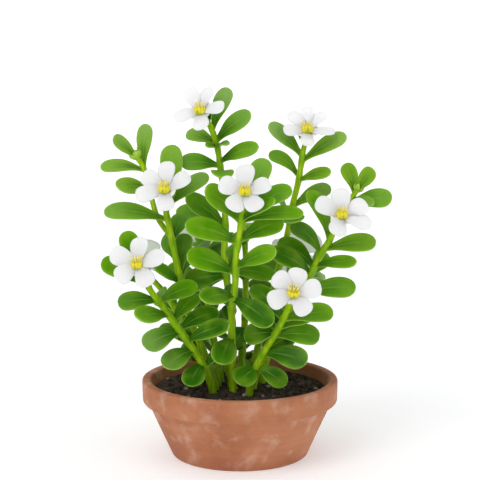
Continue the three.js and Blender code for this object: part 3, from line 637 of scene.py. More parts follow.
def leaf_finish(look):
    """Fleshy satin green with painted light and shade: deep near the foot and on low, inner leaves, darker
    down the middle, lighter at the tip, toward the edges and on high leaves, with painted sheen; pale ribs
    and underside, and a pale rim that is partly a painted highlight.
    """
    f = Finish(
        "leaf", Specular_IOR_Level=0.08, Subsurface_Weight=0.08, Subsurface_Radius=(0.5, 1.0, 0.1),
        Subsurface_Scale=0.001,
    )
    along, across = f.along_and_across()
    tone, under = f.marked("tone"), f.marked("underside")
    # From the stem's green at the foot through deep green to a lighter tip: the leaf's own colours, with
    # painted shade at the foot and a painted reflection at the tip
    f.ramp(
        along, (0.0, look.stem_colour), (0.14, look.leaf_foot_colour), (0.5, look.leaf_colour),
        (0.78, look.leaf_colour), (1.0, look.leaf_tip_colour),
    )
    # Painted shade: low, inner and far leaves are deepened toward the foot's green
    f.coat(look.leaf_foot_colour, f.eased(tone, 0.45, 0.0))
    # Painted light on high and outer leaves, and the lighter green of young leaves and buds
    high = f.eased(tone, 0.5, 1.0)
    f.coat(look.leaf_young_and_lit_colour, high, 0.7)
    # Painted shade: a darker band down the middle of the blade, deeper on high leaves
    painted_inner_shade = f.times(f.eased(across, 0.8, 0.1), f.eased(along, 0.9, 0.3))
    f.coat(look.leaf_foot_colour, f.times(painted_inner_shade, f.sloped(high, 0.35, 0.35)))
    # Painted light: a lighter band toward the edges of the blade
    f.coat(look.leaf_young_and_lit_colour, f.times(f.eased(across, 0.5, 0.95), f.eased(along, 0.2, 0.6)), 0.4)
    # Painted sheen: soft lighter patches over the blade
    f.coat(look.leaf_young_and_lit_colour, f.eased(f.grain(130.0, detail=1.0), 0.4, 0.68), 0.32)
    # Painted reflection: pale grey-green sheen toward the tips of some high and hanging leaves
    f.coat(look.leaf_painted_sheen_colour, f.times(f.marked("sage"), f.eased(along, 0.15, 0.95)))
    f.coat(look.leaf_foot_colour, f.eased(f.grain(1500.0), 0.5, 0.72), 0.14)
    rib = f.times(f.eased(across, 0.1, 0.015), f.eased(along, 0.92, 0.35))
    side = f.eased(f.reckon("ABSOLUTE", f.reckon("SUBTRACT", across, 0.45)), 0.07, 0.0)
    side = f.times(side, f.times(f.eased(along, 0.8, 0.3), 0.35))
    veins = f.times(f.reckon("MAXIMUM", rib, side), 0.3)
    f.coat(look.leaf_rib_and_rim_highlight_colour, veins)
    # Pale rim along the margin: partly the leaf's own paler edge, partly a painted highlight
    rim = f.reckon("MAXIMUM", f.eased(across, 0.9, 1.0), f.eased(along, 0.97, 1.0))
    f.coat(look.leaf_rib_and_rim_highlight_colour, rim, 0.8)
    f.coat(look.leaf_under_colour, under, 0.55)
    f.coat(look.bud_colour, f.eased(tone, 1.0, 1.4), 0.85)
    rough = f.sloped(under, 0.14, f.sloped(f.grain(500.0), 0.16, 0.3))
    pores = f.times(f.grain(2600.0), 0.12)
    return f.done(rough, f.reckon("SUBTRACT", pores, f.times(veins, 0.9)), 0.00025)


def stem_finish(look):
    """Yellow-green, drawn out in fine lengthwise streaks and darker in its nodes."""
    f = Finish(
        "stem", look.stem_colour, Specular_IOR_Level=0.08, Subsurface_Weight=0.08,
        Subsurface_Radius=(0.6, 1.0, 0.12), Subsurface_Scale=0.001, Coat_Weight=0.04, Coat_Roughness=0.35,
    )
    streaks = f.grain(900.0, (1, 1, 0.08))
    f.coat(look.stem_light_colour, f.eased(streaks, 0.35, 0.7))
    f.coat(look.leaf_foot_colour, f.eased(f.marked("along"), 0.5, 0.0), 0.45)
    ridge = f.reckon("SINE", f.times(f.marked("around"), 2 * RIDGES * math.pi))
    f.coat(look.leaf_colour, f.eased(ridge, 0.1, 1.0), 0.22)
    f.coat(look.leaf_colour, f.marked("node"), 0.5)
    return f.done(f.sloped(streaks, 0.2, 0.32), f.sloped(ridge, 0.3, streaks), 0.00018)


def petal_finish(look):
    """Soft white with faint lengthwise veins, greyer toward the throat with painted shade."""
    f = Finish(
        "petal", Specular_IOR_Level=0.25, Subsurface_Weight=0.5, Subsurface_Radius=(1.0, 1.0, 1.0),
        Subsurface_Scale=0.002, Sheen_Weight=0.05, Sheen_Roughness=0.4,
    )
    along = f.along_and_across()[0]
    # Painted shade: grey white from the throat out to the middle of the petal
    f.ramp(
        along, (0.0, look.throat_colour), (0.15, look.petal_shade), (0.75, look.petal_colour),
        (1.0, look.petal_colour),
    )
    veins = f.grain(1.0, (26, 1.6, 1), 2.0, f.uv())
    f.coat(look.petal_shade, f.times(f.eased(veins, 0.5, 0.75), f.eased(along, 1.0, 0.1)), 0.5)
    relief = f.reckon("ADD", veins, f.times(f.grain(3500.0), 0.3))
    return f.done(f.sloped(f.grain(700.0), 0.15, 0.45), relief, 0.00012)


def tube_finish(look):
    """The flower's tube: white above, washed with green toward the calyx."""
    f = Finish("flower_tube", Subsurface_Weight=0.4, Subsurface_Radius=(1, 1, 1), Subsurface_Scale=0.001)
    f.ramp(f.marked("rise"), (0.0, look.tube_colour), (0.55, look.petal_shade), (1.0, look.petal_colour))
    streaks = f.times(f.grain(1300.0), 0.25)
    f.coat(look.tube_colour, streaks)
    return f.done(f.sloped(streaks, 0.3, 0.45))


def centre_finish(look):
    """Rich yellow, deeper between its flutes, partly its own streaks and partly painted shade in the
    grooves, with green low in its middle.
    """
    f = Finish(
        "yellow_centre", look.centre_colour, Subsurface_Weight=0.15, Subsurface_Radius=(1.0, 0.9, 0.2),
        Subsurface_Scale=0.0006,
    )
    # Deeper yellow in the grooves: the centre's own streaks and painted shade
    groove = f.eased(f.marked("flute"), 0.65, 0.05)
    f.coat(look.centre_deep_colour, groove, 0.7)
    f.coat(look.centre_green, f.eased(f.times(f.marked("green"), f.sloped(groove, 0.4, 0.6)), 0.1, 0.9))
    return f.done(f.sloped(f.grain(2500.0), 0.3, 0.35), f.grain(4000.0), 0.00012)


def anther_finish(look):
    """Pale yellow pollen on short threads."""
    f = Finish("anther", Subsurface_Weight=0.1, Subsurface_Radius=(1.0, 0.9, 0.4), Subsurface_Scale=0.0004)
    pollen = f.grain(6000.0)
    f.ramp(f.marked("rise"), (0, look.centre_colour), (0.6, look.anther_colour), (1, look.anther_colour))
    f.coat(look.centre_colour, f.eased(pollen, 0.45, 0.7))
    return f.done(f.sloped(pollen, 0.3, 0.5), pollen, 0.0001)


def clay_finish(look):
    """Unglazed fired clay: fine grain, faint turning lines, pale lime bloom and a damp foot."""
    f = Finish("terracotta", IOR=1.45)
    clouds, grit = f.grain(45.0, detail=5.0), f.grain(1900.0, detail=2.0)
    f.ramp(clouds, (0.3, look.clay_dark), (0.5, look.clay_colour), (0.72, look.clay_light))
    turning = f.grain(420.0, (0.03, 0.03, 1), 2.0)
    f.coat(look.clay_dark, f.eased(turning, 0.4, 0.7), 0.25)
    f.coat(look.clay_light, f.eased(grit, 0.6, 0.72), 0.5)
    f.coat(look.lime_colour, f.eased(f.grain(130.0, detail=6.0), 0.5, 0.75), 0.45)
    f.coat(look.clay_dark, f.eased(f.sloped(clouds, 0.008, f.height()), 0.011, 0.004), 0.45)
    return f.done(f.sloped(grit, 0.2, 0.68), f.sloped(turning, 0.8, f.times(grit, 0.5)), 0.00035, 0.8)


def earth_finish(name, dark, light, lump):
    """Crumbly compost in patchy tones, from nearly black in its hollows, partly as painted shade, to brown
    on its crumbs.
    """
    f = Finish(name)
    lumps = f.grain(lump, detail=6.0)
    # The same lumps give colour and relief, so the darkest tone lies in the hollows as painted shade over
    # the compost's own patchy colour
    f.ramp(lumps, (0.32, dark), (0.55, [(a + b) / 2 for a, b in zip(dark, light)]), (0.75, light))
    f.coat(light, f.eased(f.grain(lump * 2.5, (1, 0.15, 1)), 0.58, 0.72), 0.5)
    return f.done(f.sloped(lumps, -0.3, 1.05), lumps, 0.0008)


def floor_finish(look):
    """Pale matt ground with the faintest mottle, whose rising edge glows as a lit backdrop does."""
    f = Finish(
        "pale_floor", look.floor_colour, Roughness=0.9, Specular_IOR_Level=0.1, Emission_Color=(1, 1, 1, 1)
    )
    f.coat(look.floor_shade, f.grain(9.0, detail=4.0), 0.05)
    glow = f.node("MapRange", Value=f.height(), From_Min=0.0, From_Max=0.35, To_Min=0.36, To_Max=0.8)
    f.feed(f.shader.inputs["Emission Strength"], glow.outputs["Result"])
    return f.done()


# What a user would change


def length(name, description, default):
    return bpy.props.FloatProperty(
        name=name, description=description, default=default, min=0.0, subtype="DISTANCE", unit="LENGTH",
        precision=4,
    )


def colour(name, description, default):
    return bpy.props.FloatVectorProperty(
        name=name, description=description, default=default, size=3, min=0.0, max=1.0, subtype="COLOR"
    )


def strength(name, description, default):
    return bpy.props.FloatProperty(name=name, description=description, default=default, min=0.0)


def count(name, description, default):
    return bpy.props.IntProperty(name=name, description=description, default=default, min=0)


class PotSettings(bpy.types.PropertyGroup):
    height: length("Height", "Height of the pot", POT_HIGH[2])
    rim_radius: length("Rim radius", "Outside radius of the rim band", POT_HIGH[0])
    rim_band: length("Rim band", "Height of the thicker band under the lip", 0.009)
    rim_step: length("Rim step", "How far the band stands out from the wall", 0.0024)
    foot_radius: length("Foot radius", "Outside radius of the foot", 0.027)
    wall: length("Wall", "Thickness of the wall", 0.0034)
    floor: length("Floor", "Thickness of the bottom", 0.0036)
    clay_colour: colour("Clay", "Main colour of the fired clay", (0.42, 0.15, 0.066))
    clay_light: colour("Clay light", "Colour of its paler clouds and grit", (0.54, 0.235, 0.12))
    clay_dark: colour("Clay dark", "Colour of its darker and damp places", (0.33, 0.11, 0.05))
    lime_colour: colour("Lime bloom", "Colour of the pale bloom on old clay", (0.66, 0.46, 0.34))


class SoilSettings(bpy.types.PropertyGroup):
    crumbs: count("Crumbs", "How many crumbs lie on the soil", 620)
    flakes: count("Flakes", "How many flakes of bark lie on it", 90)
    specks: count("Specks", "How many pale mineral specks", 34)
    crumb_size: length("Crumb size", "Radius of a middling crumb", 0.0008)
    # Dark of the soil, laid in its hollows as painted shade
    dark: colour("Dark", "Colour of the soil's hollows", (0.014, 0.009, 0.006))
    light: colour("Light", "Colour of its crumbs", (0.075, 0.045, 0.026))
    bark: colour("Bark", "Colour of the bark flakes", (0.16, 0.085, 0.045))
    speck: colour("Speck", "Colour of the mineral specks", (0.62, 0.6, 0.55))


class FoliageSettings(bpy.types.PropertyGroup):
    leaf_thickness: length("Leaf thickness", "Thickness of a leaf", 0.0007)
    stem_radius: length("Stem radius", "Radius of a stem at the soil", STEM_RADIUS * MM)
    tip_radius: length("Tip radius", "Radius of a stem under its bloom", STEM_TIP_RADIUS * MM)
    leaf_colour: colour("Leaf", "Main green of a leaf", (0.098, 0.3, 0.001))
    leaf_foot_colour: colour("Leaf foot", "Deep green of its foot and of shade", (0.025, 0.125, 0.0005))
    # Lighter green of the tip: partly its own colour, partly a painted reflection
    leaf_tip_colour: colour("Leaf tip", "Lighter green of its tip", (0.15, 0.37, 0.004))
    # Young leaves' own lighter green, also painted on as light on high leaves, toward leaf edges and in
    # sheen patches
    leaf_young_and_lit_colour: colour("Light leaf", "Green of the youngest leaves", (0.24, 0.45, 0.02))
    # Pale grey-green of the painted sheen on some high and hanging leaves
    leaf_painted_sheen_colour: colour("Sage leaf", "Greyer green of some leaves", (0.25, 0.42, 0.11))
    bud_colour: colour("Bud", "Yellow-green of the buds", (0.5, 0.72, 0.1))
    # Pale green of the ribs, and of the rim, where it is partly a painted highlight
    leaf_rib_and_rim_highlight_colour: colour("Leaf rim", "Pale green of the rim and ribs", (0.38, 0.6, 0.12))
    leaf_under_colour: colour("Underside", "Greyer green of the underside", (0.17, 0.34, 0.04))
    stem_colour: colour("Stem", "Yellow-green of the stems", (0.285, 0.5, 0.002))
    stem_light_colour: colour("Stem light", "Paler streaks of the stems", (0.45, 0.66, 0.015))


class BloomSettings(bpy.types.PropertyGroup):
    petal_thickness: length("Petal thickness", "Thickness of a petal", 0.0004)
    petal_colour: colour("Petal", "White of the petals", (0.94, 0.925, 0.955))
    # Grey white of the painted shade toward the throat
    petal_shade: colour("Petal shade", "Grey white near the throat", (0.8, 0.795, 0.835))
    throat_colour: colour("Throat", "Faint green white of the throat", (0.78, 0.79, 0.7))
    tube_colour: colour("Tube", "Green white of the tube", (0.5, 0.62, 0.3))
    centre_colour: colour("Centre", "Yellow of the centre", (0.82, 0.74, 0.006))
    # Deeper yellow of its streaks, also painted as shade in the grooves
    centre_deep_colour: colour("Centre streaks", "Deeper yellow of its streaks", (0.7, 0.52, 0.003))
    centre_green: colour("Centre green", "Green low in the centre", (0.24, 0.34, 0.004))
    anther_colour: colour("Anthers", "Pale yellow of the anthers", (0.93, 0.83, 0.3))


class StageSettings(bpy.types.PropertyGroup):
    floor_radius: length("Floor radius", "Radius of the flat floor", 1.1)
    floor_colour: colour("Floor", "Colour of the floor", (0.76, 0.765, 0.77))
    floor_shade: colour("Floor mottle", "Colour of its faint mottle", (0.7, 0.705, 0.71))
    sky: strength("Sky", "Strength of the even light from all round", 0.43)
    key: strength("Key light", "Strength of the main soft light from the upper left", 0.8)
    top: strength("Top light", "Strength of the soft light from above", 0.66)
    fill: strength("Fill lights", "Strength of the low lights from the left and the right", 0.42)


# Modelling: outlines are place along a blade and share of its half width, lengths are in millimetres
LEAF_ROWS = [
    (0.0, 0.27), (0.07, 0.27), (0.15, 0.35), (0.24, 0.49), (0.34, 0.69), (0.44, 0.87), (0.54, 0.97),
    (0.64, 1.01), (0.73, 1.0), (0.81, 0.95), (0.88, 0.84), (0.94, 0.65), (0.98, 0.4), (1.0, 0.15),
]
PETAL_ROWS = [
    (0.0, 0.46), (0.08, 0.58), (0.18, 0.7), (0.28, 0.8), (0.4, 0.9), (0.53, 0.98), (0.66, 1.0),
    (0.78, 0.95), (0.88, 0.83), (0.95, 0.62), (0.985, 0.38), (1.0, 0.14),
]
SEPAL_ROWS = [(0.0, 0.5), (0.2, 0.85), (0.42, 1.0), (0.64, 0.8), (0.83, 0.45), (0.95, 0.18), (1.0, 0.04)]
SEPAL_THICKNESS = 0.4
POT_SIDES = 112
ROUNDING = 0.85
SOIL_SIDES = 84
SOIL_RINGS = 19
SOIL_EDGE = 0.5
HOLE_GAP = 1.25 * GAP
HOLE_LENGTH = 18
STALK_SIDES = 15
RIDGES = 5
RIDGE_RISE = 0.06
BEND_REACH = 2.6
BEND_STEPS = 7
KNOT_REACH = 1.5
KNOT_SWELL = 0.2
YOUNG_LEAF_TONE = 1.3
BUD_TONE = 1.35
BUD_GREEN_PLACE = (0.72, 0.7)
FLUTES = 10
THREADS = 8
EDGE_RISE = 420
EDGE_STEPS = 10


def nothing_selected():
    bpy.ops.object.select_all(action="DESELECT")


def only(*pieces):
    nothing_selected()
    for piece in pieces:
        piece.select_set(True)
    bpy.context.view_layer.objects.active = pieces[0]


def started(add_primitive, **settings):
    """A primitive at its size and place, with nothing else selected."""
    nothing_selected()
    add_primitive(**settings)
    return bpy.context.object


def editing(piece):
    """Opens a piece in edit mode, all of it selected."""
    only(piece)
    bpy.ops.object.mode_set(mode="EDIT")
    bpy.ops.mesh.select_all(action="SELECT")


def done_editing():
    bpy.ops.object.mode_set(mode="OBJECT")


def choose(piece, test, kind="verts"):
    """Selects the points, or the faces by their middles, that pass a test of their place."""
    form = bmesh.from_edit_mesh(piece.data)
    bpy.context.tool_settings.mesh_select_mode = (kind == "verts", False, kind == "faces")
    for part in form.verts[:] + form.edges[:] + form.faces[:]:
        part.select = False
    for part in getattr(form, kind):
        part.select_set(test(part.co if kind == "verts" else part.calc_center_median()))
    form.select_flush_mode()
    bmesh.update_edit_mesh(piece.data)


def apply_modifier(piece, kind, **settings):
    only(piece)
    modifier = piece.modifiers.new(kind.title(), kind)
    for key, value in settings.items():
        setattr(modifier, key, value)
    bpy.ops.object.modifier_apply(modifier=modifier.name)


def smoothed(piece, degrees=None):
    """Shades a piece smooth, all over or where its faces meet at less than an angle."""
    only(piece)
    if degrees is None:
        bpy.ops.object.shade_smooth()
    else:
        bpy.ops.object.shade_smooth_by_angle(angle=math.radians(degrees))


def places(piece):
    """A piece's points in millimetres."""
    points = np.empty(len(piece.data.vertices) * 3)
    piece.data.vertices.foreach_get("co", points)
    return points.reshape(-1, 3) / MM


def move_to(piece, points):
    piece.data.vertices.foreach_set("co", (np.asarray(points) * MM).ravel())
    piece.data.update()


def mark(piece, name, values):
    """Keeps a number at each point, for the finish to read."""
    layer = piece.data.attributes.new(name, "FLOAT", "POINT")
    spread = np.broadcast_to(np.asarray(values, float), len(piece.data.vertices))
    layer.data.foreach_set("value", spread.copy())


def copy_of(master):
    piece = master.copy()
    piece.data = master.data.copy()
    bpy.context.collection.objects.link(piece)
    return piece


def dropped(*masters):
    for master in masters:
        bpy.data.objects.remove(master)


def merged(pieces):
    only(*pieces)
    if len(pieces) > 1:
        bpy.ops.object.join()
    return bpy.context.object


def joined(pieces, name):
    """One piece of several, riding on the plant's only body."""
    piece = merged(pieces)
    piece.name = piece.data.name = name
    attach(piece, "root")
    return piece


def drilled(piece, drills):
    """Takes out of a piece all that the drills fill."""
    drill = merged(drills)
    apply_modifier(piece, "BOOLEAN", operation="DIFFERENCE", object=drill, solver="EXACT")
    dropped(drill)


def turned_solid(name, profile, sides):
    """A closed turned shape: a filled circle at the profile's first step, extruded through the rest."""
    last_radius, last_height = profile[0]
    piece = started(
        bpy.ops.mesh.primitive_circle_add, vertices=sides, radius=last_radius * MM, fill_type="NGON",
        location=(0, 0, last_height * MM),
    )
    bpy.ops.object.transform_apply(location=True)
    piece.name = name
    editing(piece)
    for radius, height in profile[1:]:
        rise, share = (height - last_height) * MM, radius / last_radius
        bpy.ops.mesh.extrude_region_move(TRANSFORM_OT_translate={"value": (0, 0, rise)})
        bpy.ops.transform.resize(value=(share, share, 1), center_override=(0, 0, height * MM))
        last_radius, last_height = radius, height
    bpy.ops.mesh.select_all(action="SELECT")
    bpy.ops.mesh.normals_make_consistent(inside=False)
    done_editing()
    return piece


def around_and_out(points):
    """The turn of each point round the middle, and its distance from there."""
    return np.arctan2(points[:, 1], points[:, 0]), np.hypot(points[:, 0], points[:, 1])


def flat_blade(name, rows, length, half, columns, thickness, lifts):
    """A blade lying along +Y: a grid whose rows are drawn in to the outline and whose columns are lifted,
    thickened and rounded, with its place along and across kept as its UV map."""
    piece = started(
        bpy.ops.mesh.primitive_grid_add, x_subdivisions=columns, y_subdivisions=len(rows) - 1, size=2 * MM
    )
    piece.name = name
    editing(piece)
    beyond = 2
    levels = sorted({round(v.co.y / MM, 4) for v in bmesh.from_edit_mesh(piece.data).verts})
    for level, (place, share) in reversed(list(zip(levels, rows))):
        choose(piece, lambda co: abs(co.y / MM - level) < 1e-3)
        bpy.ops.transform.translate(value=(0, (place * length + beyond - level) * MM, 0))
        bpy.ops.transform.resize(value=(share * half, 1, 1), center_override=(0, 0, 0))
    bpy.ops.mesh.select_all(action="SELECT")
    bpy.ops.transform.translate(value=(0, -beyond * MM, 0))
    done_editing()
    points = places(piece)
    widths = half * np.interp(points[:, 1] / length, *np.array(rows).T)
    share = points[:, 0] / widths
    uv = piece.data.uv_layers["UVMap"].data
    for loop in piece.data.loops:
        i = loop.vertex_index
        uv[loop.index].uv = (0.5 + 0.5 * share[i], points[i, 1] / length)
    points[:, 2] += lifts(points[:, 1] / length, share)
    move_to(piece, points)
    apply_modifier(piece, "SOLIDIFY", thickness=thickness * MM, offset=0)
    heights = places(piece)[:, 2]
    first_half = np.arange(len(heights)) < len(heights) // 2
    mark(piece, "underside", first_half == (heights[0] < heights[len(heights) // 2]))
    apply_modifier(piece, "SUBSURF", levels=1, render_levels=1)
    smoothed(piece)
    piece["half"], piece["length"] = float(half), float(length)
    return piece


def laid_blade(master, blade, tone=None, twist=0.0, wave=0.0):
    """A copy of a blade, laid where the layout puts it and turned a little about its middle line."""
    piece = copy_of(master)
    points = places(piece)
    along = points[:, 1] / master["length"]
    across = points[:, 0] / master["half"] * blade["width"] / 2
    lift = points[:, 2] + wave * np.sin(math.pi * along * 2) * (1 - along * 0.3)
    turn = twist * along
    across, lift = across * np.cos(turn) - lift * np.sin(turn), across * np.sin(turn) + lift * np.cos(turn)
    move_to(piece, blade_points(blade, along, across, lift))
    if tone is not None:
        mark(piece, "tone", tone)
    return piece


def stood(master, at, axis, first):
    """A copy of a shape, stood on a place with its +Z along an axis and its +X toward first."""
    piece = copy_of(master)
    side = unit(first - axis * (first @ axis))
    move_to(piece, at + places(piece) @ np.array([side, np.cross(axis, side), axis]))
    return piece


def stem_master(rings):
    """A straight ridged stalk, one millimetre in radius and one long, extruded ring by ring."""
    piece = turned_solid("stalk", [(1, ring / rings) for ring in range(rings + 1)], STALK_SIDES)
    points = places(piece)
    around = around_and_out(points)[0] / (2 * math.pi)
    points[:, :2] *= (1 + RIDGE_RISE * np.cos(2 * math.pi * around * RIDGES))[:, None]
    move_to(piece, points)
    mark(piece, "around", around % 1)
    mark(piece, "along", points[:, 2])
    smoothed(piece)
    return piece


def laid_stem(master, run, radius_at, knots=(), reach=1.0):
    """A copy of the stalk, bent softly along a run, with a swelling at each knot."""
    piece = copy_of(master)
    points = places(piece)
    share = points[:, 2] * reach
    bend = np.minimum(BEND_REACH / run.length, np.minimum(share, 1 - share))
    middle, tangent = np.zeros((2, len(share), 3))
    for part in np.linspace(-1, 1, BEND_STEPS):
        middle += run.at(share + part * bend) / BEND_STEPS
        tangent += run.along(share + part * bend)
    tangent = units(tangent)
    side = units(RIGHT - tangent * tangent[:, :1])
    swell = np.zeros(len(share))
    for knot in knots:
        swell = swell + np.exp(-(((share - knot) * run.length / KNOT_REACH) ** 2))
    swell = np.minimum(swell, 1)
    radius = radius_at(share) * (1 + KNOT_SWELL * swell)
    offset = side * points[:, :1] + np.cross(tangent, side) * points[:, 1:2]
    move_to(piece, middle + offset * radius[:, None])
    mark(piece, "node", swell)
    return piece


def leaf_lifts(along, share):
    """A leaf's cross section: a groove along its middle line and sides that rise a little."""
    groove = 0.24 * np.exp(-((share / 0.2) ** 2)) * np.clip(1.15 - along, 0, 1)
    return 0.42 * np.abs(share) ** 1.7 * np.sin(math.pi * np.clip(along, 0.05, 0.97)) - groove


def petal_lifts(along, share):
    """A petal's cross section: a soft crown with three faint lengthwise folds."""
    folds = 0.05 * np.cos(share * 2.5 * math.pi) * np.sin(math.pi * np.clip(along, 0, 1))
    return folds - 0.4 * np.abs(share) ** 2 * np.sin(math.pi * np.clip(along, 0.1, 0.93))


def leaf_painted_light_and_tone(blade, pick):
    """Painted light and shade with a little tone of their own: leaves high or far out are painted lighter,
    as if lit, those low, inside or behind deeper, as if shaded, and each varies a little at random.
    """
    right, back, up = blade["tip"]
    out = min(1, math.hypot(right, back) / 42) - 0.62
    tone = 0.5 + (up - 90) / 125 - max(0, back) / 150 + 0.5 * out + pick.uniform(-0.22, 0.22)
    return float(np.clip(tone, 0.0, 1))


def leaf_painted_sheen(blade, pick):
    """Painted sheen: some high leaves behind the blooms and hanging outer ones get a pale grey-green
    painted reflection.
    """
    right, back, up = blade["tip"]
    high = np.clip((up - 80) / 25, 0, 1) * np.clip((back + 16) / 18, 0, 1)
    hanging = np.clip((blade["root"][2] - up) / 10 + 0.4, 0, 1) * np.clip((abs(right) - 20) / 14, 0, 1)
    return float(max(high * pick.uniform(0, 0.9) ** 1.3, hanging * pick.uniform(0.25, 0.65)))


def hole_radius(share):
    return stem_radius(share) + HOLE_GAP


def soil_height(x, y):
    waves = np.sin(x * 0.55 + 1.3) * np.cos(y * 0.48) + 0.6 * np.sin(x * 0.23 - y * 0.37)
    return SOIL_TOP + SOIL_BUMP * waves


# The pieces


class HYSSOP_OT_pot(bpy.types.Operator):
    """Turns the low clay pot with its rim band, rounded lip and drain holes"""

    bl_idname = "hyssop.pot"
    bl_label = "Clay pot"

    def execute(self, context):
        chosen = context.scene.hyssop_pot
        height, rim, foot = chosen.height / MM, chosen.rim_radius / MM, chosen.foot_radius / MM
        band_foot, wall, floor = height - chosen.rim_band / MM, chosen.wall / MM, chosen.floor / MM
        body = rim - chosen.rim_step / MM
        # Up the outside, over the rim band and its lip, and down the inside to the floor
        profile = [(foot + (body - foot) * t, band_foot * t) for t in (0, 0.2, 0.4, 0.6, 0.8, 1)]
        profile += [(rim - 0.3, band_foot), (rim - 0.1, band_foot + 4), (rim, height), (rim - wall, height)]
        profile += [(body - wall, band_foot), (foot - 0.9, floor + 2.5), (foot - 3.4, floor)]
        profile += [(foot * 0.4, floor)]
        pot = turned_solid("clay_pot", profile, POT_SIDES)
        sharp = math.radians(28)
        apply_modifier(
            pot, "BEVEL", width=ROUNDING * MM, segments=4, limit_method="ANGLE", angle_limit=sharp
        )
        drills = []
        out = DRAIN_CIRCLE * MM
        for order in range(DRAINS):
            turn = 2 * math.pi * order / DRAINS + math.pi / 6
            drills.append(started(
                bpy.ops.mesh.primitive_cylinder_add, vertices=32, radius=DRAIN_RADIUS * MM,
                depth=2 * floor * MM, location=(out * math.cos(turn), out * math.sin(turn), floor / 2 * MM),
            ))
        drilled(pot, drills)
        # A turned pot is never quite round above its foot
        points = places(pot)
        for point in points:
            sway = noise.noise(Vector(point) * 0.045) * 0.22 * min(1, point[2] / 8)
            point[:2] *= 1 + sway / 40
        move_to(pot, points)
        smoothed(pot, degrees=34)
        pot.data.materials.append(clay_finish(chosen))
        pot = joined([pot], "clay_pot")
        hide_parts("pot")
        return {"FINISHED"}


class HYSSOP_OT_soil(bpy.types.Operator):
    """Fills the pot with compost that has a plain hole for each stem, and strews crumbs over it"""

    bl_idname = "hyssop.soil"
    bl_label = "Soil"

    def execute(self, context):
        chosen = context.scene.hyssop_soil
        top, low = SOIL_HIGH[0] / MM, SOIL_LOW[2] / MM
        # The soil follows the inside of the pot up to its own top
        profile = [(23.3, low), (25.8, low + 2.2), (33.1, 21.5), (top, SOIL_TOP)]
        soil = turned_solid("potting_soil", profile, SOIL_SIDES)
        editing(soil)
        choose(soil, lambda middle: middle.z > (SOIL_TOP - 0.01) * MM, "faces")
        for _ in range(SOIL_RINGS):
            bpy.ops.mesh.inset(thickness=top / (SOIL_RINGS + 1.5) * MM)
        bpy.ops.mesh.poke()
        done_editing()
        points = places(soil)
        radius = around_and_out(points)[1]
        upper = (points[:, 2] > SOIL_TOP - 0.01) & (radius < top - SOIL_EDGE)
        points[upper, 2] = soil_height(points[upper, 0], points[upper, 1])
        for i in np.flatnonzero(upper):
            lump = noise.fractal(Vector((points[i, 0], points[i, 1], 4.0)) * 0.7, 1.0, 2.2, 3)
            points[i, 2] += 0.28 * lump * min(1, (top - radius[i]) / 3)
        move_to(soil, points)
        straight = stem_master(rings=12)
        drilled(soil, [
            laid_stem(straight, run, hole_radius, reach=HOLE_LENGTH / run.length)
            for run in clump.runs.values()
        ])
        dropped(straight)
        smoothed(soil, degrees=50)
        soil.data.materials.append(earth_finish("compost", chosen.dark, chosen.light, lump=380.0))
        soil = joined([soil], "potting_soil")
        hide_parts("soil")
        self.strew(chosen, top - SOIL_EDGE, [
            earth_finish("crumb", chosen.dark, chosen.light, lump=900.0),
            earth_finish("bark", chosen.light, chosen.bark, lump=700.0),
            earth_finish("mineral_speck", chosen.bark, chosen.speck, lump=1500.0),
        ])
        return {"FINISHED"}

    def strew(self, chosen, edge, finishes):
        """Crumbs, flakes and specks, half sunk in the soil and clear of every stem."""
        pick = random.Random(11)
        feet = np.vstack([run.at(np.linspace(0, 20 / run.length, 9)) for run in clump.runs.values()])
        masters = [self.crumb_master(seed, finishes[0]) for seed in range(4)]
        pieces = []
        for kind, amount in enumerate((chosen.crumbs, chosen.flakes, chosen.specks)):
            for _ in range(amount):
                size = chosen.crumb_size / MM * (pick.uniform(0.35, 1) ** 2 * 1.2 + 0.25)
                stretch = np.array([1, pick.uniform(0.7, 1), pick.uniform(0.6, 0.9)])
                if kind == 1:
                    stretch = np.array([pick.uniform(1.6, 3.2), 0.8, 0.3])
                reach = size * stretch.max() * 1.4
                turn = pick.uniform(0, 2 * math.pi)
                away = math.sqrt(pick.random()) * (edge - reach)
                at = np.array([away * math.cos(turn), away * math.sin(turn), 0])
                at[2] = soil_height(at[0], at[1]) + size * stretch[2] * pick.uniform(-0.1, 0.5)
                spin = Matrix.Rotation(pick.uniform(0, 2 * math.pi), 3, "Z")
                tilt = Matrix.Rotation(pick.uniform(-0.5, 0.5), 3, "X")
                if np.min(np.linalg.norm(feet - at, axis=1)) < STEM_RADIUS + 2 * GAP + reach:
                    continue
                piece = copy_of(pick.choice(masters))
                move_to(piece, at + places(piece) * stretch * size @ np.array(spin @ tilt).T)
                piece.data.materials[0] = finishes[kind]
                pieces.append(piece)
        strewn = joined(pieces, "soil_crumbs")
        smoothed(strewn, degrees=60)
        dropped(*masters)

    def crumb_master(self, seed, earth):
        """A ball of few faces, a millimetre in radius, pulled out of shape."""
        crumb = started(
            bpy.ops.mesh.primitive_uv_sphere_add, segments=7, ring_count=5, radius=MM, location=(0, 0, 0)
        )
        editing(crumb)
        bpy.ops.transform.vertex_random(offset=0.34 * MM, uniform=0.6, normal=0.4, seed=seed)
        done_editing()
        crumb.data.materials.append(earth)
        return crumb


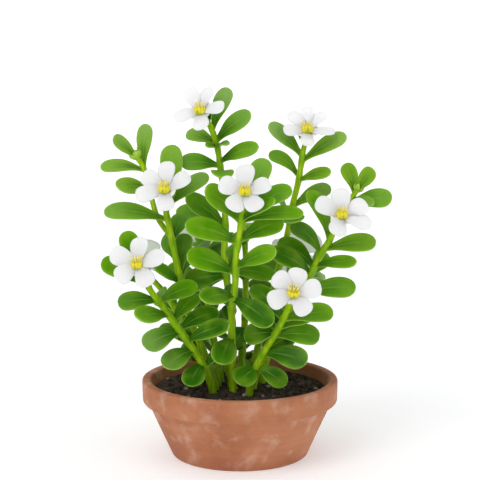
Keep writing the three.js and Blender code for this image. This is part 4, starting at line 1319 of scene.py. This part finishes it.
class HYSSOP_OT_stems(bpy.types.Operator):
    """Grows the leafy stems: a ridged stalk swollen at its nodes, fleshy leaves, sepals and buds"""

    bl_idname = "hyssop.stems"
    bl_label = "Leafy stems"

    def execute(self, context):
        chosen = context.scene.hyssop_foliage
        green = leaf_finish(chosen)
        leaf = flat_blade(
            "leaf", LEAF_ROWS, length=18, half=4.4, columns=8, thickness=chosen.leaf_thickness / MM,
            lifts=leaf_lifts,
        )
        sepal = flat_blade(
            "sepal", SEPAL_ROWS, length=4.5, half=1.25, columns=4, thickness=SEPAL_THICKNESS,
            lifts=leaf_lifts,
        )
        for blade in (leaf, sepal):
            blade.data.materials.append(green)
        stalk = stem_master(rings=52)
        stalk.data.materials.append(stem_finish(chosen))
        bud = self.bud_master(green)
        thin, thick = chosen.tip_radius / MM, chosen.stem_radius / MM
        pick = random.Random(5)
        for stem in STEMS + BACK_STEMS:
            name = stem["name"]
            run = clump.runs[name]
            roots = [up_of(blade["root"][None])[0] for blade in clump.leaves[name]]
            knots = sorted({round(run.seen_at(up)[0], 2) for up in roots})
            pieces = [laid_stem(stalk, run, lambda share: thick + (thin - thick) * share, knots)]
            ends = []
            if name in clump.shoots:
                pieces.append(laid_stem(stalk, clump.shoots[name], lambda share: thin))
                ends.append((clump.shoots[name], stem["shoot"]["bud"]))
            if "bud" in stem:
                ends.append((run, stem["bud"]))
            for end, size in ends:
                pieces += self.held_bud(bud, sepal, end, size, pick)
            if "bloom" in stem:
                pieces += self.calyx(sepal, clump.blooms[stem["bloom"]], pick)
            for blade in clump.leaves[name]:
                twist = math.radians(pick.uniform(-9, 9))
                piece = laid_blade(leaf, blade, leaf_painted_light_and_tone(blade, pick), twist, pick.uniform(-0.25, 0.25))
                mark(piece, "sage", leaf_painted_sheen(blade, pick))
                pieces.append(piece)
            piece = joined(pieces, "leafy_stem_" + name)
            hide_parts("stem_" + name)
        dropped(leaf, sepal, stalk, bud)
        return {"FINISHED"}

    def bud_master(self, green):
        """A closed bud: a ball drawn to a point, with five seams pressed in."""
        bud = started(
            bpy.ops.mesh.primitive_uv_sphere_add, segments=20, ring_count=12, radius=MM, location=(0, 0, 0)
        )
        editing(bud)
        for height, size in ((0.2, (0.92, 0.92, 1.25)), (0.85, (0.7, 0.7, 1.08))):
            choose(bud, lambda co: co.z > height * MM)
            bpy.ops.transform.resize(value=size, center_override=(0, 0, 0))
        done_editing()
        points = places(bud)
        around = around_and_out(points)[0]
        points[:, :2] *= (1 - 0.09 * np.clip(np.cos(around * SEPALS), 0, 1) ** 3)[:, None]
        move_to(bud, points)
        mark(bud, "tone", BUD_TONE)
        for loop in bud.data.loops:
            bud.data.uv_layers[0].data[loop.index].uv = BUD_GREEN_PLACE
        bud.data.materials.append(green)
        smoothed(bud)
        return bud

    def held_bud(self, master, sepal, run, size, pick):
        """A bud on the end of a stem, in the hold of four young leaves."""
        at, axis = run.at(1)[0], run.along(1)[0]
        first = turned(unit(np.cross(axis, UP + RIGHT)), axis, pick.uniform(0, 1))
        piece = stood(master, at, axis, first)
        move_to(piece, at + axis * size * 0.7 + (places(piece) - at) * size * 0.92)
        pieces = [piece]
        for order in range(4):
            out = turned(first, axis, math.pi / 2 * order)
            pieces.append(laid_blade(sepal, {
                "root": at - axis * 0.4 + out * 0.4,
                "tip": at + axis * size * (1.55 + 0.3 * (order % 2)) + out * size * 1.05,
                "bow": at + out * size * 1.6 + axis * size * 0.5,
                "face": axis - out * 0.3,
                "width": size * 1.5,
            }, YOUNG_LEAF_TONE))
        return pieces

    def calyx(self, sepal, bloom, pick):
        """Five pointed sepals that hold the flower's tube."""
        middle, axis = bloom["middle"], bloom["axis"]
        first = unit(bloom["tips"][0] - middle)
        pieces = []
        for order in range(SEPALS):
            out = turned(first, axis, math.pi * (2 * order + 1) / SEPALS)
            pieces.append(laid_blade(sepal, {
                "root": middle - axis * (RECEPTACLE_BACK + 0.9) + out * 0.5,
                "tip": middle + out * pick.uniform(3.5, 4.1) - axis * pick.uniform(2.4, 3.0),
                "bow": middle + out * 2.7 - axis * 6.4,
                "face": axis - out * 0.25,
                "width": 3.3,
            }, pick.uniform(0.45, 0.7)))
        return pieces


class HYSSOP_OT_corollas(bpy.types.Operator):
    """Opens the white flowers: broad crowned petals round a short tube"""

    bl_idname = "hyssop.corollas"
    bl_label = "Corollas"

    def execute(self, context):
        chosen = context.scene.hyssop_blooms
        petal = flat_blade(
            "petal", PETAL_ROWS, length=9, half=4.4, columns=8, thickness=chosen.petal_thickness / MM,
            lifts=petal_lifts,
        )
        petal.data.materials.append(petal_finish(chosen))
        tube = self.tube_master(tube_finish(chosen))
        pick = random.Random(23)
        for name, bloom in clump.blooms.items():
            pieces = [stood(tube, bloom["middle"], bloom["axis"], bloom["tips"][0] - bloom["middle"])]
            for tip in bloom["tips"]:
                blade = petal_blade(bloom, tip)
                blade["root"] = bloom["middle"] + (blade["root"] - bloom["middle"]) * 0.6
                blade["width"] *= 1.02
                twist = math.radians(pick.uniform(-7, 7))
                pieces.append(laid_blade(petal, blade, None, twist, pick.uniform(-0.3, 0.3)))
            piece = joined(pieces, "corolla_" + name)
            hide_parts("bloom_" + name)
        dropped(petal, tube)
        return {"FINISHED"}

    def tube_master(self, white):
        """The short tube that widens into a throat, under the petals."""
        rim = THROAT_RADIUS
        # Up the outside to the flare under the petals, over it, and back down into the throat
        profile = [(1, -6), (1.1, -5), (1.25, -4), (1.6, -3.1), (2.2, -2.4), (rim + 0.6, -1.75)]
        profile += [(rim + 1.4, -1.2), (rim + 2.1, -0.85), (rim + 2.2, -0.7), (rim + 2.1, -0.62)]
        profile += [(rim + 1.2, -0.85), (rim + 0.1, -1.1), (rim - 0.2, -1.5), (1, -1.6)]
        tube = turned_solid("tube", profile, sides=30)
        mark(tube, "rise", np.clip((places(tube)[:, 2] + 6) / 4.6, 0, 1))
        smoothed(tube, degrees=50)
        tube.data.materials.append(white)
        return tube


class HYSSOP_OT_centres(bpy.types.Operator):
    """Sets the yellow centres: a fluted cup that holds a tuft of threads with pale anthers"""

    bl_idname = "hyssop.centres"
    bl_label = "Yellow centres"

    def execute(self, context):
        chosen = context.scene.hyssop_blooms
        cup, thread = self.cup_master(centre_finish(chosen)), self.thread_master(anther_finish(chosen))
        pick = random.Random(31)
        for name, bloom in clump.blooms.items():
            middle, axis = bloom["middle"], bloom["axis"]
            upward = unit(UP - axis * (UP @ axis))
            across = np.cross(upward, axis)
            lean = unit(upward * 0.85 + axis * 0.5)
            pieces = [stood(cup, middle + axis * 0.1 - upward * 0.25, lean, across)]
            for order in range(THREADS):
                turn = 2 * math.pi * order / THREADS + pick.uniform(-0.15, 0.15)
                side = across * math.cos(turn) + np.cross(lean, across) * math.sin(turn)
                foot = middle + side * 0.95 + lean * 0.2
                grown = unit(lean + side * pick.uniform(0.2, 0.5))
                piece = stood(thread, foot, grown, side)
                move_to(piece, foot + (places(piece) - foot) * pick.uniform(0.8, 1.12))
                pieces.append(piece)
            piece = joined(pieces, "centre_" + name)
            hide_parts("eye_" + name)
        dropped(cup, thread)
        return {"FINISHED"}

    def cup_master(self, yellow):
        """A small round-bottomed goblet with ten plump flutes that end in teeth round its lip."""
        # Up the outside to the lip, over it, and down the inside
        profile = [(0.7, -2.0), (1.45, -1.75), (1.95, -1.2), (2.2, -0.45), (2.22, 0.2), (2.1, 0.7)]
        profile += [(1.92, 0.95), (1.72, 0.8), (1.6, 0.3), (1.2, -0.1), (0.3, -0.4)]
        cup = turned_solid("cup", profile, sides=60)
        points = places(cup)
        around, radius = around_and_out(points)
        flutes = np.cos(around * FLUTES)
        high = np.clip((points[:, 2] + 2.0) / 2.4, 0, 1) * (radius > 1.4)
        points[:, :2] *= (1 + 0.035 * flutes * high)[:, None]
        points[:, 2] += 0.35 * flutes * np.clip((points[:, 2] - 0.1) / 0.9, 0, 1)
        move_to(cup, points)
        mark(cup, "flute", 0.5 + 0.5 * flutes * high)
        green = np.exp(-((points[:, 0] / 1.4) ** 2) - ((points[:, 2] + 1.0) / 0.9) ** 2)
        mark(cup, "green", np.maximum(green * (points[:, 1] < 0), radius < 1.5))
        cup.data.materials.append(yellow)
        smoothed(cup, degrees=60)
        return cup

    def thread_master(self, pale):
        """A thread three millimetres tall that carries an anther."""
        # The thread first, and then the anther on its end
        profile = [(0.3, -0.5), (0.28, 0.6), (0.24, 1.4), (0.2, 1.9)]
        profile += [(0.3, 2.1), (0.33, 2.4), (0.26, 2.7), (0.1, 2.9)]
        thread = turned_solid("thread", profile, sides=10)
        points = places(thread)
        points[:, 0] += 0.1 * points[:, 2] ** 2 / 4
        points[points[:, 2] > 1.95, 1] *= 1.35
        move_to(thread, points)
        mark(thread, "rise", np.clip(points[:, 2] / 2.9, 0, 1))
        thread.data.materials.append(pale)
        smoothed(thread, degrees=50)
        return thread


def facing(way):
    return Vector(way).to_track_quat("-Z", "Y").to_euler()


class HYSSOP_OT_stage(bpy.types.Operator):
    """Lays the pale floor, hangs the soft lights and stands the camera where the plant is seen from"""

    bl_idname = "hyssop.stage"
    bl_label = "Floor, lights and camera"

    def execute(self, context):
        chosen = context.scene.hyssop_stage
        self.lay_floor(chosen)
        self.light("key_light", (-0.5, -0.6, 0.75), chosen.key, spread=32)
        self.light("top_light", (-0.1, 0.05, 1.0), chosen.top, spread=60)
        self.light("left_light", (-0.9, -0.6, 0.1), chosen.fill, spread=20)
        self.light("right_light", (0.8, -0.6, 0.3), chosen.fill, spread=25)
        world = bpy.data.worlds.new("even_light")
        context.scene.world = world
        world.use_nodes = True
        sky = world.node_tree.nodes["Background"]
        sky.inputs["Color"].default_value = (1, 1, 1, 1)
        sky.inputs["Strength"].default_value = chosen.sky
        context.scene.view_settings.view_transform = "Standard"
        camera = started(bpy.ops.object.camera_add, location=EYE * MM, rotation=facing(INWARD))
        camera.name = camera.data.name = "viewer"
        camera.data.lens = 100
        camera.data.sensor_width = 36
        context.scene.camera = camera
        return {"FINISHED"}

    def lay_floor(self, chosen):
        """A flat round floor whose edge bends up into a low backdrop."""
        flat = chosen.floor_radius
        floor = started(bpy.ops.mesh.primitive_circle_add, vertices=96, radius=flat, fill_type="NGON")
        floor.name = floor.data.name = "pale_floor"
        editing(floor)
        last_out, last_up = flat / MM, 0
        for step in range(1, EDGE_STEPS + 1):
            bend = math.pi / 2 * step / EDGE_STEPS
            out, up = flat / MM + EDGE_RISE * math.sin(bend), EDGE_RISE * (1 - math.cos(bend))
            share = out / last_out
            bpy.ops.mesh.extrude_edges_move()
            bpy.ops.transform.translate(value=(0, 0, (up - last_up) * MM))
            bpy.ops.transform.resize(value=(share, share, 1), center_override=(0, 0, up * MM))
            last_out, last_up = out, up
        done_editing()
        smoothed(floor, degrees=40)
        floor.data.materials.append(floor_finish(chosen))

    def light(self, name, at, energy, spread):
        """A broad, even light that shines from a place toward the plant, spread over some degrees."""
        lamp = started(bpy.ops.object.light_add, type="SUN", location=at, rotation=facing(-Vector(at)))
        lamp.name = lamp.data.name = name
        lamp.data.energy = energy
        lamp.data.angle = math.radians(spread)


PIECES = (
    HYSSOP_OT_stage, HYSSOP_OT_pot, HYSSOP_OT_soil, HYSSOP_OT_stems, HYSSOP_OT_corollas, HYSSOP_OT_centres,
)
SETTINGS = {
    "hyssop_pot": PotSettings,
    "hyssop_soil": SoilSettings,
    "hyssop_foliage": FoliageSettings,
    "hyssop_blooms": BloomSettings,
    "hyssop_stage": StageSettings,
}


class HYSSOP_PT_sidebar(bpy.types.Panel):
    """Lists the plant's pieces and what can be changed on them"""

    bl_idname = "HYSSOP_PT_sidebar"
    bl_label = "Potted water hyssop"
    bl_space_type = "VIEW_3D"
    bl_region_type = "UI"
    bl_category = "Hyssop"

    def draw(self, context):
        for piece in PIECES:
            self.layout.operator(piece.bl_idname, text=piece.bl_label)
        for name, group in SETTINGS.items():
            box = self.layout.box()
            for key in group.__annotations__:
                box.prop(getattr(context.scene, name), key)


def register():
    for name, group in SETTINGS.items():
        bpy.utils.register_class(group)
        setattr(bpy.types.Scene, name, bpy.props.PointerProperty(type=group))
    for kind in (*PIECES, HYSSOP_PT_sidebar):
        bpy.utils.register_class(kind)


def unregister():
    for kind in (HYSSOP_PT_sidebar, *reversed(PIECES)):
        bpy.utils.unregister_class(kind)
    for name, group in SETTINGS.items():
        delattr(bpy.types.Scene, name)
        bpy.utils.unregister_class(group)


def main():
    register()
    bpy.ops.hyssop.stage()
    bpy.ops.hyssop.pot()
    bpy.ops.hyssop.soil()
    bpy.ops.hyssop.stems()
    bpy.ops.hyssop.corollas()
    bpy.ops.hyssop.centres()


if __name__ == "__main__":
    main()
